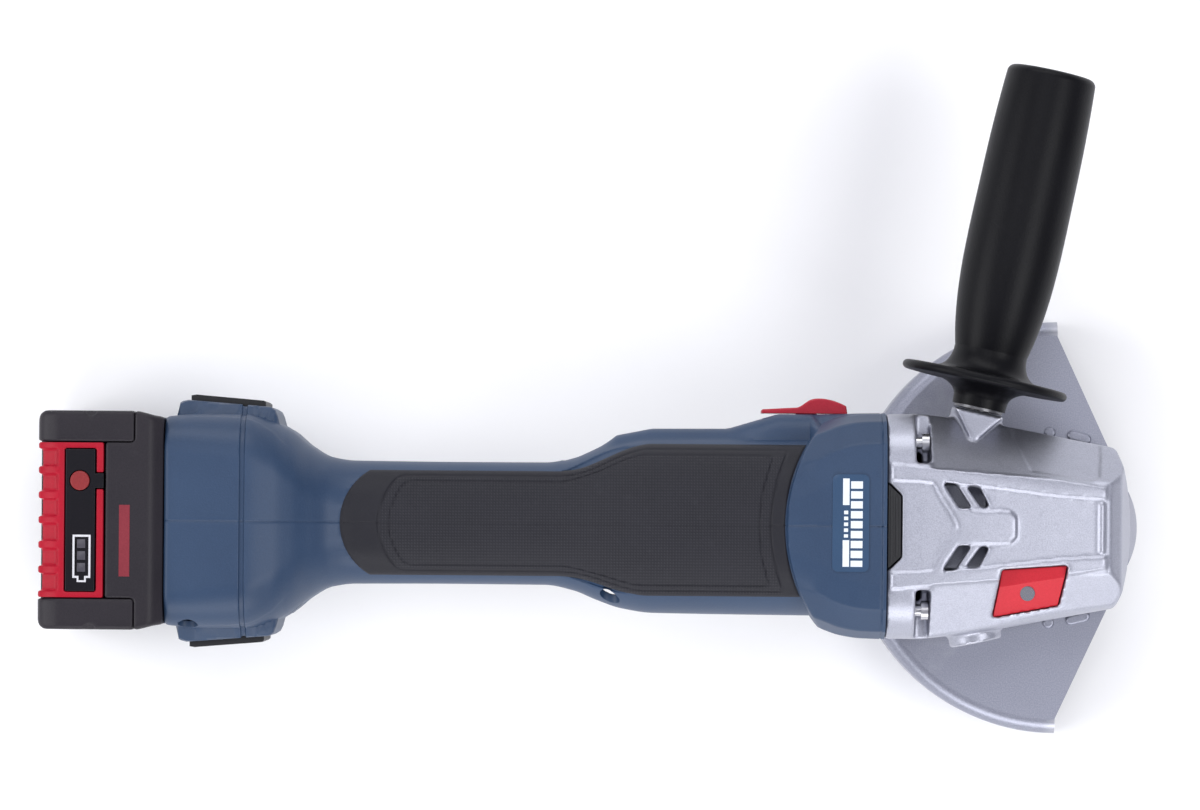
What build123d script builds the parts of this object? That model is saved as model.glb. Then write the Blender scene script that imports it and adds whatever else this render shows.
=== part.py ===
from build123d import *
import os
from math import atan2, cos, degrees, hypot, pi, radians, sin

# Cordless angle grinder for 125 mm wheels, with a slide-on battery, a wheel guard and a screw-in side handle.
# Frame, in millimetres: Z is the spindle axis, pointing up out of the gear head. X runs along the body, towards
# the nose. The origin is on the spindle axis, where the bare end of its thread begins below the clamping nut.

# ---------------------------------------------------------------- driving dimensions
MOTOR_Z = 62.0  # height of the motor axis
HEAD_BACK = -62.0  # joint between the motor housing and the gear head
FOOT_BACK = -307.0  # rear face of the housing, where the battery slides on
FLOOR_Z = -10.0  # lowest plane: guard rim and battery
WALL = 3.0  # housing wall thickness
GAP = 0.3  # clearance between separate casings

SPINDLE_R = 6.0
THREAD_R = 7.0  # M14 spindle thread
THREAD_END_Z = -9.0
NUT_TOP_Z = 8.0
NUT_BOTTOM_Z = 0.6
GEAR_TEETH, PINION_TEETH, GEAR_MODULE, FACE_WIDTH = 38, 11, 1.0, 5.4

GUARD_R = 72.0
GUARD_PLATE_Z = 16.0
GUARD_SHEET = 2.0
GUARD_NOSE_R = 28.2
NECK_R = 22.5

HANDLE_TILT = 12.0  # the handle leans forward of square by this many degrees
HANDLE_Z = 70.0
HANDLE_FOOT = (-30.4, 39.6)  # X, Y where the handle axis leaves its boss
HANDLE_LENGTH = 119.0
STUD_HOLE_R = 4.25

SHAFT_R = 4.0
STATOR_R, STATOR_BORE_R = 25.0, 14.2
STATOR_BACK, STATOR_FRONT = -118.0, -90.0

BATTERY_BACK = -349.5
BATTERY_HALF = 37.0
BATTERY_TOP = 106.0
BATTERY_SEAM = -317.0
BAY_HALF = 26.5  # half width of the release button's bay
CELL_R, CELL_LENGTH, CELL_PITCH = 9.2, 65.0, 18.6

# Housing sections along X: position, half width, underside, top, corner radius.
BODY_SECTIONS = [
    (FOOT_BACK, 35.6, 3.0, 103.0, 12.0),
    (-296.0, 36.5, 1.6, 103.6, 14.0),
    (-281.0, 36.6, 2.0, 103.4, 16.0),
    (-271.0, 34.4, 7.0, 101.0, 18.0),
    (-264.5, 30.8, 14.0, 97.6, 19.0),
    (-258.5, 26.0, 22.5, 93.2, 18.5),
    (-251.5, 22.3, 31.0, 88.8, 17.0),
    (-243.0, 21.1, 37.0, 86.6, 17.0),
    (-210.0, 20.9, 38.5, 86.0, 17.0),
    (-178.0, 21.0, 38.0, 86.6, 17.5),
    (-168.5, 22.8, 36.4, 87.8, 18.5),
    (-160.5, 26.0, 33.8, 90.0, 20.5),
    (-152.0, 28.8, 31.6, 92.2, 22.5),
    (-141.0, 30.3, 30.0, 93.8, 24.0),
    (-84.0, 30.8, 29.2, 95.0, 25.5),
]
COLLAR_SECTIONS = [
    (-98.0, 31.6, 28.2, 96.0, 24.5),
    (-91.0, 32.9, 27.2, 97.0, 23.0),
    (-84.5, 35.0, 26.2, 98.0, 21.5),
    (-78.0, 37.2, 25.4, 98.8, 20.0),
    (-71.0, 38.2, 25.0, 99.4, 19.0),
    (HEAD_BACK - GAP, 38.5, 25.0, 99.4, 18.5),
]
COLLAR_ARC_R = 56.6  # plan radius of the collar's rear edge
COLLAR_ARC_X = -39.4
HEAD_SECTIONS = [
    (HEAD_BACK, 38.3, 10.0, 98.4, 18.5),
    (-50.0, 38.4, 10.0, 98.0, 18.5),
    (-30.0, 36.2, 10.0, 96.8, 22.0),
    (-8.0, 32.0, 10.0, 95.0, 21.0),
    (12.0, 28.2, 10.0, 93.2, 17.0),
    (26.0, 25.6, 10.0, 92.0, 14.0),
]
HEAD_FLOOR = 30.0
NOSE_X, NOSE_ARC_R = 22.0, 69.0
BOX_SCREWS_YZ = [(28.5, 84.0), (-28.5, 84.0), (28.5, 40.0), (-28.5, 40.0)]
HOUSING_SCREWS_XZ = [(-299, 95), (-299, 11), (-264, 74), (-264, 34), (-222, 45), (-156, 44), (-156, 80)]


# ---------------------------------------------------------------- shared shapes
def block(x0, x1, y0, y1, z0, z1):
    """A box given by its two corners."""
    return Pos((x0 + x1) / 2, (y0 + y1) / 2, (z0 + z1) / 2) * Box(x1 - x0, y1 - y0, z1 - z0)


def bar_x(radius, x0, x1, y=0.0, z=MOTOR_Z):
    return Pos((x0 + x1) / 2, y, z) * Rot(0, 90, 0) * Cylinder(radius, x1 - x0)


def bar_y(radius, y0, y1, x, z):
    return Pos(x, (y0 + y1) / 2, z) * Rot(90, 0, 0) * Cylinder(radius, y1 - y0)


def bar_z(radius, z0, z1, x=0.0, y=0.0):
    return Pos(x, y, (z0 + z1) / 2) * Cylinder(radius, z1 - z0)


def tube_x(outer, inner, x0, x1, y=0.0, z=MOTOR_Z):
    return bar_x(outer, x0, x1, y, z) - bar_x(inner, x0 - 1, x1 + 1, y, z)


def tube_z(outer, inner, z0, z1, x=0.0, y=0.0):
    return bar_z(outer, z0, z1, x, y) - bar_z(inner, z0 - 1, z1 + 1, x, y)


def section_loft(sections, grow=0.0):
    """A body through rounded-rectangle sections, grown outwards by grow."""
    faces = []
    for x, half, low, high, corner in sections:
        plane = Plane(origin=(x, 0, (low + high) / 2), x_dir=(0, 1, 0), z_dir=(1, 0, 0))
        faces.append(plane * RectangleRounded(2 * (half + grow), high - low + 2 * grow, corner + grow))
    return loft(faces, ruled=True)


def prism(points, z0, z1):
    """A flat polygon in plan, extruded from z0 to z1."""
    return extrude(Pos(0, 0, z0) * make_face(Polyline(*points, close=True)), z1 - z0)


def mirrored(shape):
    """The shape's twin on the other side of the tool."""
    return mirror(shape, about=Plane.XZ)


def round_edges(shape, edges, radius):
    """Fillets the edges, or a little less where the full radius doesn't fit."""
    for share in (1.0, 0.6, 0.3):
        try:
            rounded = fillet(edges, radius * share)
            if rounded.is_valid and rounded.volume > 0:
                return rounded
        except Exception:
            continue
    return shape


def save(node, *shapes):
    """Writes one node, made of one or more separate solids."""
    solids = [solid for shape in shapes for solid in shape.solids()]
    whole = solids[0] if len(solids) == 1 else Compound(children=solids)
    export_step(whole, f"parts/{node}.step")


# ---------------------------------------------------------------- motor housing and grip
def collar_cut(radius):
    return bar_z(radius, 0, 130, COLLAR_ARC_X)


def switch_ridge():
    """The raised rail on the left side that carries the slide switch."""
    outline = make_face([
        Line((-170, 14), (-166, 21)),
        Spline((-166, 21), (-154, 30.6), (-142, 33.0), tangents=[(0.6, 0.8), (1, 0)]),
        Line((-142, 33.0), (-116, 33.2)),
        Spline((-116, 33.2), (-99, 38.4), tangents=[(1, 0), (1, 0)]),
        Line((-99, 38.4), (HEAD_BACK - GAP, 38.4)),
        Line((HEAD_BACK - GAP, 38.4), (HEAD_BACK - GAP, 14)),
        Line((HEAD_BACK - GAP, 14), (-170, 14)),
    ])
    ridge = extrude(Pos(0, 0, MOTOR_Z - 15) * outline, 30)
    long_edges = [e for e in ridge.edges() if e.center().Y > 24 and abs(e.center().Z - MOTOR_Z) > 14]
    return round_edges(ridge, long_edges, 7.0)


def grip_outline(left, sag, half, wide, narrow):
    """Plan outline of a soft grip patch: round at the rear, half wide behind the motor, wide on the left over the
    motor and narrow on the right, and cut off along the collar's arc."""
    front = COLLAR_ARC_X - 42
    patch = make_face([
        ThreePointArc((left + sag, half), (left, 0), (left + sag, -half)),
        Line((left + sag, -half), (-178, -half)),
        Line((-178, -half), (-150, -narrow)),
        Line((-150, -narrow), (front, -narrow)),
        Line((front, -narrow), (front, wide)),
        Line((front, wide), (-150, wide)),
        Line((-150, wide), (-178, half)),
        Line((-178, half), (left + sag, half)),
    ])
    return patch - Pos(COLLAR_ARC_X, 0) * Circle(COLLAR_ARC_R + GAP)


def rubber_beds():
    """The spaces on top and underneath that the soft grip fills, open outwards."""
    bed = section_loft(BODY_SECTIONS, -1.4)
    top = extrude(Pos(0, 0, MOTOR_Z + 4) * grip_outline(-248.4, 10.6, 18.2, 27.6, 24.6), 60)
    under = extrude(Pos(0, 0, -5) * grip_outline(-244.0, 9.0, 14.5, 16.5, 16.5), MOTOR_Z)
    return top - bed, under - bed


def housing_shells(beds):
    body = section_loft(BODY_SECTIONS)
    collar = section_loft(COLLAR_SECTIONS) & collar_cut(COLLAR_ARC_R)
    hollow = section_loft(BODY_SECTIONS, -WALL) & block(FOOT_BACK + WALL, -86, -60, 60, -20, 130)
    solid = (body + [collar, switch_ridge(), vent_scoop(1), vent_scoop(-1)]) & block(
        FOOT_BACK, HEAD_BACK - GAP, -60, 60, -20, 130)

    bulkhead = block(-142, -134, -40, 40, 0, 120) - [bar_x(11.0, -143, -133)] - [
        bar_x(3.2, -143, -133, y, MOTOR_Z - 12) for y in (-15, 15)]
    seats = [block(x, x + 3, -40, 40, 0, 120) - bar_x(STATOR_R, x - 1, x + 4) for x in (STATOR_BACK + 2, STATOR_FRONT - 5)]
    bosses = [bar_y(4.4, -36, 36, x, z) for x, z in HOUSING_SCREWS_XZ]
    hollow = hollow - [bulkhead, *seats, *bosses]

    cuts = [hollow, bar_x(31.0, -87.0, HEAD_BACK + 1), *beds]
    # Rail channel and window for the slide switch, in the left side.
    cuts += [block(-158, -70, 26.4, 29.5, MOTOR_Z - 5, MOTOR_Z + 5), block(-158, -143, 20, 27, MOTOR_Z - 5, MOTOR_Z + 5), block(-93.5, -78, 26, 45, MOTOR_Z - 3.2, MOTOR_Z + 3.2)]
    # Groove round the foot, air windows, battery connector window and a finger notch.
    cuts.append(block(-281.6, -279.8, -60, 60, -20, 130) - section_loft(BODY_SECTIONS[:4], -0.9))
    cuts += [block(-299.5, -273.5, low, low + 14, 30, 80) for low in (31, -45)]
    cuts += [block(FOOT_BACK - 1, FOOT_BACK + WALL + 1, -16.2, 16.2, 5.8, 34.2), bar_z(3.4, 96, 110, -300.5, -37.4)]
    # Screw holes: a clearance hole and head pocket on the right, a pilot hole on the left.
    cuts += [bar_x(2.0, -81, -60, y, z) for y, z in BOX_SCREWS_YZ]
    for x, z in HOUSING_SCREWS_XZ:
        cuts += [bar_y(1.7, -60, 12, x, z), bar_y(3.3, -60, screw_seat_y(x), x, z)]
    shell = solid - cuts
    left, right = block(-400, 0, 0.04, 60, -20, 130), block(-400, 0, -60, -0.04, -20, 130)
    return (shell & left) + battery_rail(1), (shell & right) + battery_rail(-1)


def battery_rail(side):
    """The rail on the housing's rear face that one side of the battery hangs on."""
    rail = block(-318.3, FOOT_BACK, 26.0, 35.0, 6, 86) + block(-323.2, -318.3, 22.2, 35.0, 6, 86)
    return rail if side > 0 else mirrored(rail)


def screw_seat_y(x):
    """How far out a housing screw's head sits, on the right side."""
    return -17.0 if x > -290 else -28.0


def vent_scoop(side):
    """The flared cheek beside the foot that the air inlet sits in."""
    cheek = prism([(-303, 30), (-303, 40.4), (-300, 41.4), (-272, 39.2), (-269.4, 37), (-269.4, 30)], 24, 86)
    cheek = round_edges(cheek, cheek.edges().filter_by(GeomType.LINE).filter_by(
        lambda e: e.center().Y > 36 and abs(e.center().Z - 55) > 20), 4.0)
    return cheek if side > 0 else mirrored(cheek)


def vent_grille(side):
    """The black louvred insert that fills the air window."""
    frame = prism([(-299.2, 34), (-299.2, 42.8), (-297.5, 43.1), (-274.5, 41.2), (-273.8, 40.6), (-273.8, 34)], 30.3, 79.7)
    louvres = [block(-296.8, -276.2, 30, 46, z, z + 2.6) for z in range(34, 76, 5)]
    for louvre in louvres:
        frame = frame - louvre
    return frame if side > 0 else mirrored(frame)


def make_housing():
    beds = rubber_beds()
    left, right = housing_shells(beds)
    save("housing_left", left)
    save("housing_right", right)
    proud = section_loft(BODY_SECTIONS, 0.4)
    for name, side in (("left", block(-400, 0, 0.05, 60, -20, 130)), ("right", block(-400, 0, -60, -0.05, -20, 130))):
        save("grip_" + name, *[bed & proud & side for bed in beds])
    save("vent_grille_left", vent_grille(1))
    save("vent_grille_right", vent_grille(-1))
    screws = []
    for x, z in HOUSING_SCREWS_XZ:
        seat = screw_seat_y(x)
        head = bar_y(3.0, seat - 2.2, seat, x, z) - bar_y(1.3, seat - 3, seat - 1.0, x, z)
        screws.append(head + bar_y(1.7, seat, 11, x, z))
    save("housing_screws", *screws)
    label = section_loft(COLLAR_SECTIONS, 0.35) - section_loft(COLLAR_SECTIONS, 0.02)
    plate = RectangleRounded(12.4, 33.0, 2.0)
    save("info_label", label & extrude(Pos(-74.6, 1.0, MOTOR_Z + 12) * plate, 40))


# ---------------------------------------------------------------- gear head
def head_outline(grow=0.0):
    """Plan outline of the head's nose: a shallow arc with rounded corners."""
    arc_centre = NOSE_X - NOSE_ARC_R
    nose = Pos(arc_centre, 0) * Circle(NOSE_ARC_R + grow)
    strip = Pos(-20, 0) * Rectangle(84 + 2 * grow, 100)
    return nose & strip


def head_solid(grow=0.0):
    body = section_loft(HEAD_SECTIONS, grow)
    body = body & extrude(head_outline(grow), 130)
    side = Pos(0, 50, 0) * extrude(Plane.XZ * make_face(Polyline(
        (HEAD_BACK, HEAD_FLOOR), (HEAD_BACK, 130), (9 + grow, 130), (9 + grow, 98), (18 + grow, 88.5),
        (25 + grow, 60), (25 + grow, HEAD_FLOOR), close=True)), 100)
    body = body & side
    nose_edges = [e for e in body.edges() if e.center().X > 14 and e.center().Z > 34]
    return round_edges(body, nose_edges, 3.0)


RIB = [(-60.6, 20.9), (-4.6, 16.6), (13, 13.6), (13, 9.8), (-4.6, 11.0), (-27.6, 13.8), (-60.6, 16.0)]
CHEVRON = [(-47.2, 16.4), (-40.8, 16.0), (-37.6, 11.0), (-33.8, 5.2), (-20.5, 5.2), (-18.6, 3.2), (-18.6, -0.05),
           (-38.0, -0.05), (-39.4, 3.0), (-43.4, 9.6)]
SLOTS = [
    [(-43.4, 15.0), (-38.9, 14.6), (-33.4, 6.3), (-37.8, 6.2)],
    [(-35.6, 14.0), (-30.8, 13.4), (-27.3, 6.6), (-30.4, 6.6)],
]
LABEL_RECESS = [(-19.4, 40), (-19.4, 31.5), (-13.4, 19.2), (5.8, 15.8), (10.5, 17.0), (12.5, 40)]
SLOPE_LEFT, SLOPE_RIGHT = 1.2, 0.83
BOSS_WEB = [(-38.8, 40.8), (-22.4, 37.2), (-32.8, 28.4)]
BOSS_WEB_TOP = 84.0
BUTTON = [(-25.9, -31.0), (-23.2, -14.3), (-0.3, -12.6), (-3.0, -26.6)]
LOCK_RIVET = (-14.0, -22.5)
LOCK_PIN = (-8.4, -13.6)
LOCK_FLOOR, LOCK_TOP, LOCK_TRAVEL = 81.0, 89.0, 4.0
LOCK_SUNK = 1.4  # the button's face lies this far below the flank


def gear_housing():
    head = head_solid() - side_slope(1, SLOPE_LEFT) - side_slope(-1, SLOPE_RIGHT)
    raised = section_loft(HEAD_SECTIONS, 1.0) & block(HEAD_BACK + 1.6, 12.4, -60, 60, 80, 130)
    for points in (RIB, CHEVRON):
        rib = raised & prism(points, 70, 120)
        head = head + rib + mirrored(rib)
    head = head + (raised & block(10.0, 11.6, -8.5, 8.5, 80, 120))

    # Handle bosses on both sides. The left one has a flat-topped web.
    for side in (1, -1):
        head = head + (handle_plane(side) * Pos(0, 0, -9) * Cylinder(9.0, 18))
    head = head + prism(BOSS_WEB, HANDLE_Z, BOSS_WEB_TOP)
    head = head & block(HEAD_BACK, 40, -60, 60, HEAD_FLOOR, 130)

    # Hollows: gear chamber, pinion tunnel, bearing seat, fan chamber and the air duct to the top slots.
    head = head - bar_z(20.4, HEAD_FLOOR - 1, 74.5)
    head = head - bar_x(9.0, -37.0, 0) - bar_x(11.0, -44.0, -37.0)
    head = head - bar_x(7.5, -51, -43)
    head = head - bar_x(30.0, HEAD_BACK - 1, -50.0)
    head = head - block(HEAD_BACK - 1, -27.0, -15.0, 15.0, 79.0, 90.5)
    head = head - bar_z(7.5, 70, 84)
    for points in SLOTS:
        slot = prism(points, 86, 110)
        head = head - slot - mirrored(slot)

    # Screw pockets: the gearbox screws sit in notches behind the rear flange.
    for y, z in BOX_SCREWS_YZ:
        head = head - bar_x(2.1, HEAD_BACK - 1, -50, y, z)
        out = 1 if y > 0 else -1
        up = (z - 5, 120) if z > MOTOR_Z else (z - 4.5, z + 4.5)
        low, high = sorted((out * 21.5, out * 60))
        head = head - block(-52.4, -47.2, low, high, *up)

    # Notch for the air baffle's tab, shallow label recess, and the pockets of the lock button and its pin.
    head = head - block(HEAD_BACK - 1, -60.0, -9.2, 9.2, 88, 93)
    head = head - prism([(HEAD_BACK - 1, 14.6), (HEAD_BACK + 0.6, 14.6), (-57.2, 10.6), (-57.2, -10.6),
                         (HEAD_BACK + 0.6, -14.6), (HEAD_BACK - 1, -14.6)], 92, 130)
    recess = extrude(Pos(0, 0, 60) * make_face(Polyline(*LABEL_RECESS, close=True)), 70)
    head = head - (recess & side_slope(1, SLOPE_LEFT, 0.9))
    head = head - prism(BUTTON, LOCK_FLOOR - LOCK_TRAVEL - 0.3, 120)
    head = head - lock_arm(3.3, 75.1, 86) - bar_z(2.1, 70, 80, *LOCK_PIN) - bar_z(3.5, 66.5, 80, *LOCK_RIVET)

    # Threaded holes for the side handle, and for the bearing flange's screws.
    for side in (1, -1):
        head = head - (handle_plane(side) * Pos(0, 0, -7) * Cylinder(STUD_HOLE_R, 16))
    for x, y in FLANGE_SCREWS_XY:
        head = head - bar_z(1.7, HEAD_FLOOR - 1, 42, x, y)
    return head


def side_slope(side, fall, sunk=0.0):
    """The space above a sloping flank of the head. The flank starts at the ribs and drops away by fall times the width."""
    def section(x):
        y, z = 21.5 - 0.103 * (x + 50), 96.0 - 0.048 * (x + 50) - sunk
        corners = [(y - 4, z + 4 * fall), (y + 30, z - 30 * fall), (y + 30, 130), (y - 4, 130)]
        return make_face(Polyline(*[(x, side * a, b) for a, b in corners], close=True))

    return loft([section(-47.2), section(40.0)], ruled=True)


def lock_arm(radius, z0, z1):
    """A rounded bar that joins the lock rivet to the lock pin."""
    (x0, y0), (x1, y1) = LOCK_RIVET, LOCK_PIN
    length, turn = hypot(x1 - x0, y1 - y0), degrees(atan2(y1 - y0, x1 - x0))
    slot = Rot(0, 0, turn) * SlotCenterToCenter(length, 2 * radius)
    return extrude(Pos((x0 + x1) / 2, (y0 + y1) / 2, z0) * slot, z1 - z0)


def handle_plane(side):
    """A plane on a handle boss, with its normal along the handle."""
    x, y = HANDLE_FOOT
    tilt = radians(HANDLE_TILT)
    return Plane(origin=(x, side * y, HANDLE_Z), x_dir=(0, 0, 1), z_dir=(sin(tilt), side * cos(tilt), 0))


FLANGE_SCREWS_XY = [(-27, 25.5), (-27, -25.5), (14, 20.5), (14, -20.5)]
BEARING_Z0, BEARING_Z1 = 36.0, 46.0


def bearing_flange():
    """The cover under the head, which holds the lower bearing and carries the guard on its neck."""
    plate = extrude(Pos(0, 0, 26.2) * (head_outline(0.8) & Pos(-13, 0) * Rectangle(78, 100)), HEAD_FLOOR - 26.2)
    plate = plate & (section_loft(HEAD_SECTIONS, 0.8))
    body = plate + bar_z(20.2, HEAD_FLOOR - 0.5, BEARING_Z1 + 1) + bar_z(NECK_R, 15.5, 27)
    body = body - bar_z(16.0, BEARING_Z0, 60) - bar_z(14.0, 30, 60) - bar_z(9.2, 10, 60)
    body = body - bar_z(13.0, 10, 20)
    body = body - (tube_z(NECK_R + 1, NECK_R - 1.2, 18.6, 25.2) - block(-40, 40, -4, 4, 0, 60))
    for x, y in FLANGE_SCREWS_XY:
        body = body - bar_z(2.0, 20, 40, x, y) - bar_z(3.6, 20, 28.6, x, y)
    return body


def make_head():
    save("gear_housing", gear_housing())
    save("bearing_flange", bearing_flange())
    save("flange_screws", *[
        (bar_z(3.4, 26.4, 28.6, x, y) - bar_z(1.4, 26, 27.6, x, y)) + bar_z(1.7, 28.6, 40, x, y)
        for x, y in FLANGE_SCREWS_XY])
    save("gearbox_screws", *[
        (bar_x(3.3, -50.0, -47.6, y, z) - bar_x(1.4, -48.8, -47, y, z)) + bar_x(2.0, -79.5, -50.0, y, z)
        for y, z in BOX_SCREWS_YZ])
    tab = prism([(HEAD_BACK + 0.2, 14.2), (-57.6, 10.2), (-57.6, -10.2), (HEAD_BACK + 0.2, -14.2)], 92.2, 130)
    tab = tab & section_loft(HEAD_SECTIONS, 0.2)
    baffle = tube_x(29.6, 13.0, HEAD_BACK + 0.2, HEAD_BACK + 1.8)
    for angle in range(0, 360, 45):
        baffle = baffle - Pos(HEAD_BACK, 0, MOTOR_Z) * Rot(angle, 0, 0) * Pos(0, 0, 22) * Box(8, 9, 6)
    save("air_baffle", baffle + block(HEAD_BACK + 0.2, -60.2, -9, 9, MOTOR_Z + 28.9, 92.4) + tab)
    save("needle_bearing", tube_z(7.5, 5.03, 75.0, 83.8))


# ---------------------------------------------------------------- bevel gears
PITCH_R_GEAR, PITCH_R_PINION = GEAR_TEETH * GEAR_MODULE / 2, PINION_TEETH * GEAR_MODULE / 2
CONE_LENGTH = hypot(PITCH_R_GEAR, PITCH_R_PINION)
CONE_SHARE = (CONE_LENGTH - FACE_WIDTH) / CONE_LENGTH


def bevel_tooth(pitch_r, half_tooth):
    """One straight tooth of a bevel gear, apex at the origin and axis along +Z, standing at angle 0."""
    angle = atan2(pitch_r, (PITCH_R_GEAR * PITCH_R_PINION) / pitch_r)
    pitch_point = Vector(pitch_r, 0, CONE_LENGTH * cos(angle))
    out, along = Vector(cos(angle), 0, -sin(angle)), Vector(0, 1, 0)
    corners = [(-1.6, half_tooth + 0.35), (0.85, half_tooth - 0.30), (0.85, 0.30 - half_tooth), (-1.6, -half_tooth - 0.35)]
    outer = [pitch_point + out * h + along * t for h, t in corners]
    inner = [p * CONE_SHARE for p in outer]
    rings = [outer, inner] + [[outer[i - 1], outer[i], inner[i], inner[i - 1]] for i in range(4)]
    return Solid(Shell([Face(Wire.make_polygon(ring, close=True)) for ring in rings]))


def bevel_gear(pitch_r, teeth, half_pitch, hub_profile, phase):
    """Teeth on a cone, fused to a turned hub. hub_profile is in radius and height above the apex."""
    hub = revolve(make_face(Polyline(*[(r, 0, z) for r, z in hub_profile], close=True)), Axis.Z)
    tooth = bevel_tooth(pitch_r, half_pitch)
    ring = [Rot(0, 0, phase + 360 * i / teeth) * tooth for i in range(teeth)]
    return hub.fuse(*ring)


def root_points(pitch_r):
    """Radius and height of the root cone's outer and inner ends."""
    angle = atan2(pitch_r, (PITCH_R_GEAR * PITCH_R_PINION) / pitch_r)
    r, z = pitch_r - 1.2 * cos(angle), CONE_LENGTH * cos(angle) + 1.2 * sin(angle)
    return (r, z), (r * CONE_SHARE, z * CONE_SHARE)


def make_gears():
    outer, inner = root_points(PITCH_R_GEAR)
    profile = [(SPINDLE_R, inner[1] - 1.0), (inner[0] - 1.2, inner[1] - 1.0), inner, outer,
               (outer[0] + 0.3, outer[1] + 3.6), (11.0, outer[1] + 4.4), (SPINDLE_R, outer[1] + 4.4)]
    gear = Pos(0, 0, MOTOR_Z) * bevel_gear(PITCH_R_GEAR, GEAR_TEETH, 0.62, profile, 0)
    for i in range(8):
        x, y = 16.0 * cos(pi * i / 4 + LOCK_ANGLE), 16.0 * sin(pi * i / 4 + LOCK_ANGLE)
        gear = gear - bar_z(2.3, MOTOR_Z + outer[1] + 0.6, 90, x, y)
    save("bevel_gear", gear)

    outer, inner = root_points(PITCH_R_PINION)
    bore = PINION_BORE_R
    profile = [(bore, inner[1]), inner, outer, (outer[0], outer[1] + 2.0), (6.0, outer[1] + 2.0), (6.0, 27.0), (bore, 27.0)]
    pinion = bevel_gear(PITCH_R_PINION, PINION_TEETH, 0.58, profile, 180 / PINION_TEETH)
    save("bevel_pinion", Pos(0, 0, MOTOR_Z) * Rot(0, -90, 0) * pinion)


PINION_BORE_R = 2.4
LOCK_ANGLE = atan2(LOCK_PIN[1], LOCK_PIN[0])


# ---------------------------------------------------------------- spindle
def make_spindle():
    spindle = bar_z(5.0, 72, 83.4) + bar_z(SPINDLE_R, BEARING_Z0, 73.6) + bar_z(8.4, 14.0, BEARING_Z0)
    spindle = spindle + bar_z(THREAD_R, THREAD_END_Z, 0) + bar_z(THREAD_R - 0.2, 0, 14.0)
    spindle = chamfer(spindle.edges().group_by(Axis.Z)[0], 1.0)
    save("spindle", spindle)
    save("spindle_circlip", tube_z(8.0, SPINDLE_R, 64.3, 65.6) - block(-1.6, 1.6, 0, 12, 58, 68))
    save("backing_flange", backing_flange())
    save("clamp_nut", clamp_nut())
    ball_bearing_z("spindle_bearing", SPINDLE_R, 16.0, BEARING_Z0, BEARING_Z1)
    save("spindle_seal", tube_z(14.0, 9.1, 32.6, BEARING_Z0 - 0.2))


def backing_flange():
    body = bar_z(21.0, NUT_TOP_Z, NUT_TOP_Z + 4.5) + bar_z(12.0, NUT_TOP_Z, 13.9)
    body = body + bar_z(11.1, NUT_TOP_Z - 2.5, NUT_TOP_Z)
    body = body - tube_z(17.0, 13.5, NUT_TOP_Z - 1, NUT_TOP_Z + 0.6)
    return body - bar_z(THREAD_R, 0, 20)


def clamp_nut():
    nut = bar_z(20.5, NUT_BOTTOM_Z, NUT_TOP_Z - 0.05)
    nut = chamfer(nut.edges().group_by(Axis.Z)[0], 1.5)
    nut = nut - bar_z(11.4, NUT_TOP_Z - 3.0, 20) - bar_z(THREAD_R + 0.05, -1, 10)
    for i in range(4):
        x, y = 15.0 * cos(pi * i / 2), 15.0 * sin(pi * i / 2)
        nut = nut - bar_z(2.5, -1, 5.0, x, y)
    return nut


def ring_profile(bore, outer):
    """Radii of a ball bearing's parts: inner ring outside, outer ring inside, ball circle and ball radius."""
    middle = (bore + outer) / 2
    ball = (outer - bore) * 0.27
    return middle - ball * 0.55, middle + ball * 0.55, middle, ball


def bearing_parts(bore, outer, thickness):
    """Inner ring, and outer ring with its balls, on the Z axis about the origin."""
    inner_r, outer_r, middle, ball = ring_profile(bore, outer)
    track = Torus(middle, ball + 0.08)
    half = thickness / 2
    inner = tube_z(inner_r, bore, -half, half) - track
    outer_ring = tube_z(outer, outer_r, -half, half) - track
    count = int(2 * pi * middle / (2.5 * ball))
    balls = [Rot(0, 0, 360 * i / count) * Pos(middle, 0, 0) * Sphere(ball) for i in range(count)]
    return inner, [outer_ring, *balls]


def ball_bearing_z(name, bore, outer, z0, z1):
    inner, rest = bearing_parts(bore, outer, z1 - z0)
    place = Pos(0, 0, (z0 + z1) / 2)
    save(name + "_inner", place * inner)
    save(name + "_outer", *[place * s for s in rest])


def ball_bearing_x(name, bore, outer, x0, x1):
    inner, rest = bearing_parts(bore, outer, x1 - x0)
    place = Pos((x0 + x1) / 2, 0, MOTOR_Z) * Rot(0, 90, 0)
    save(name + "_inner", place * inner)
    save(name + "_outer", *[place * s for s in rest])


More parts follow.
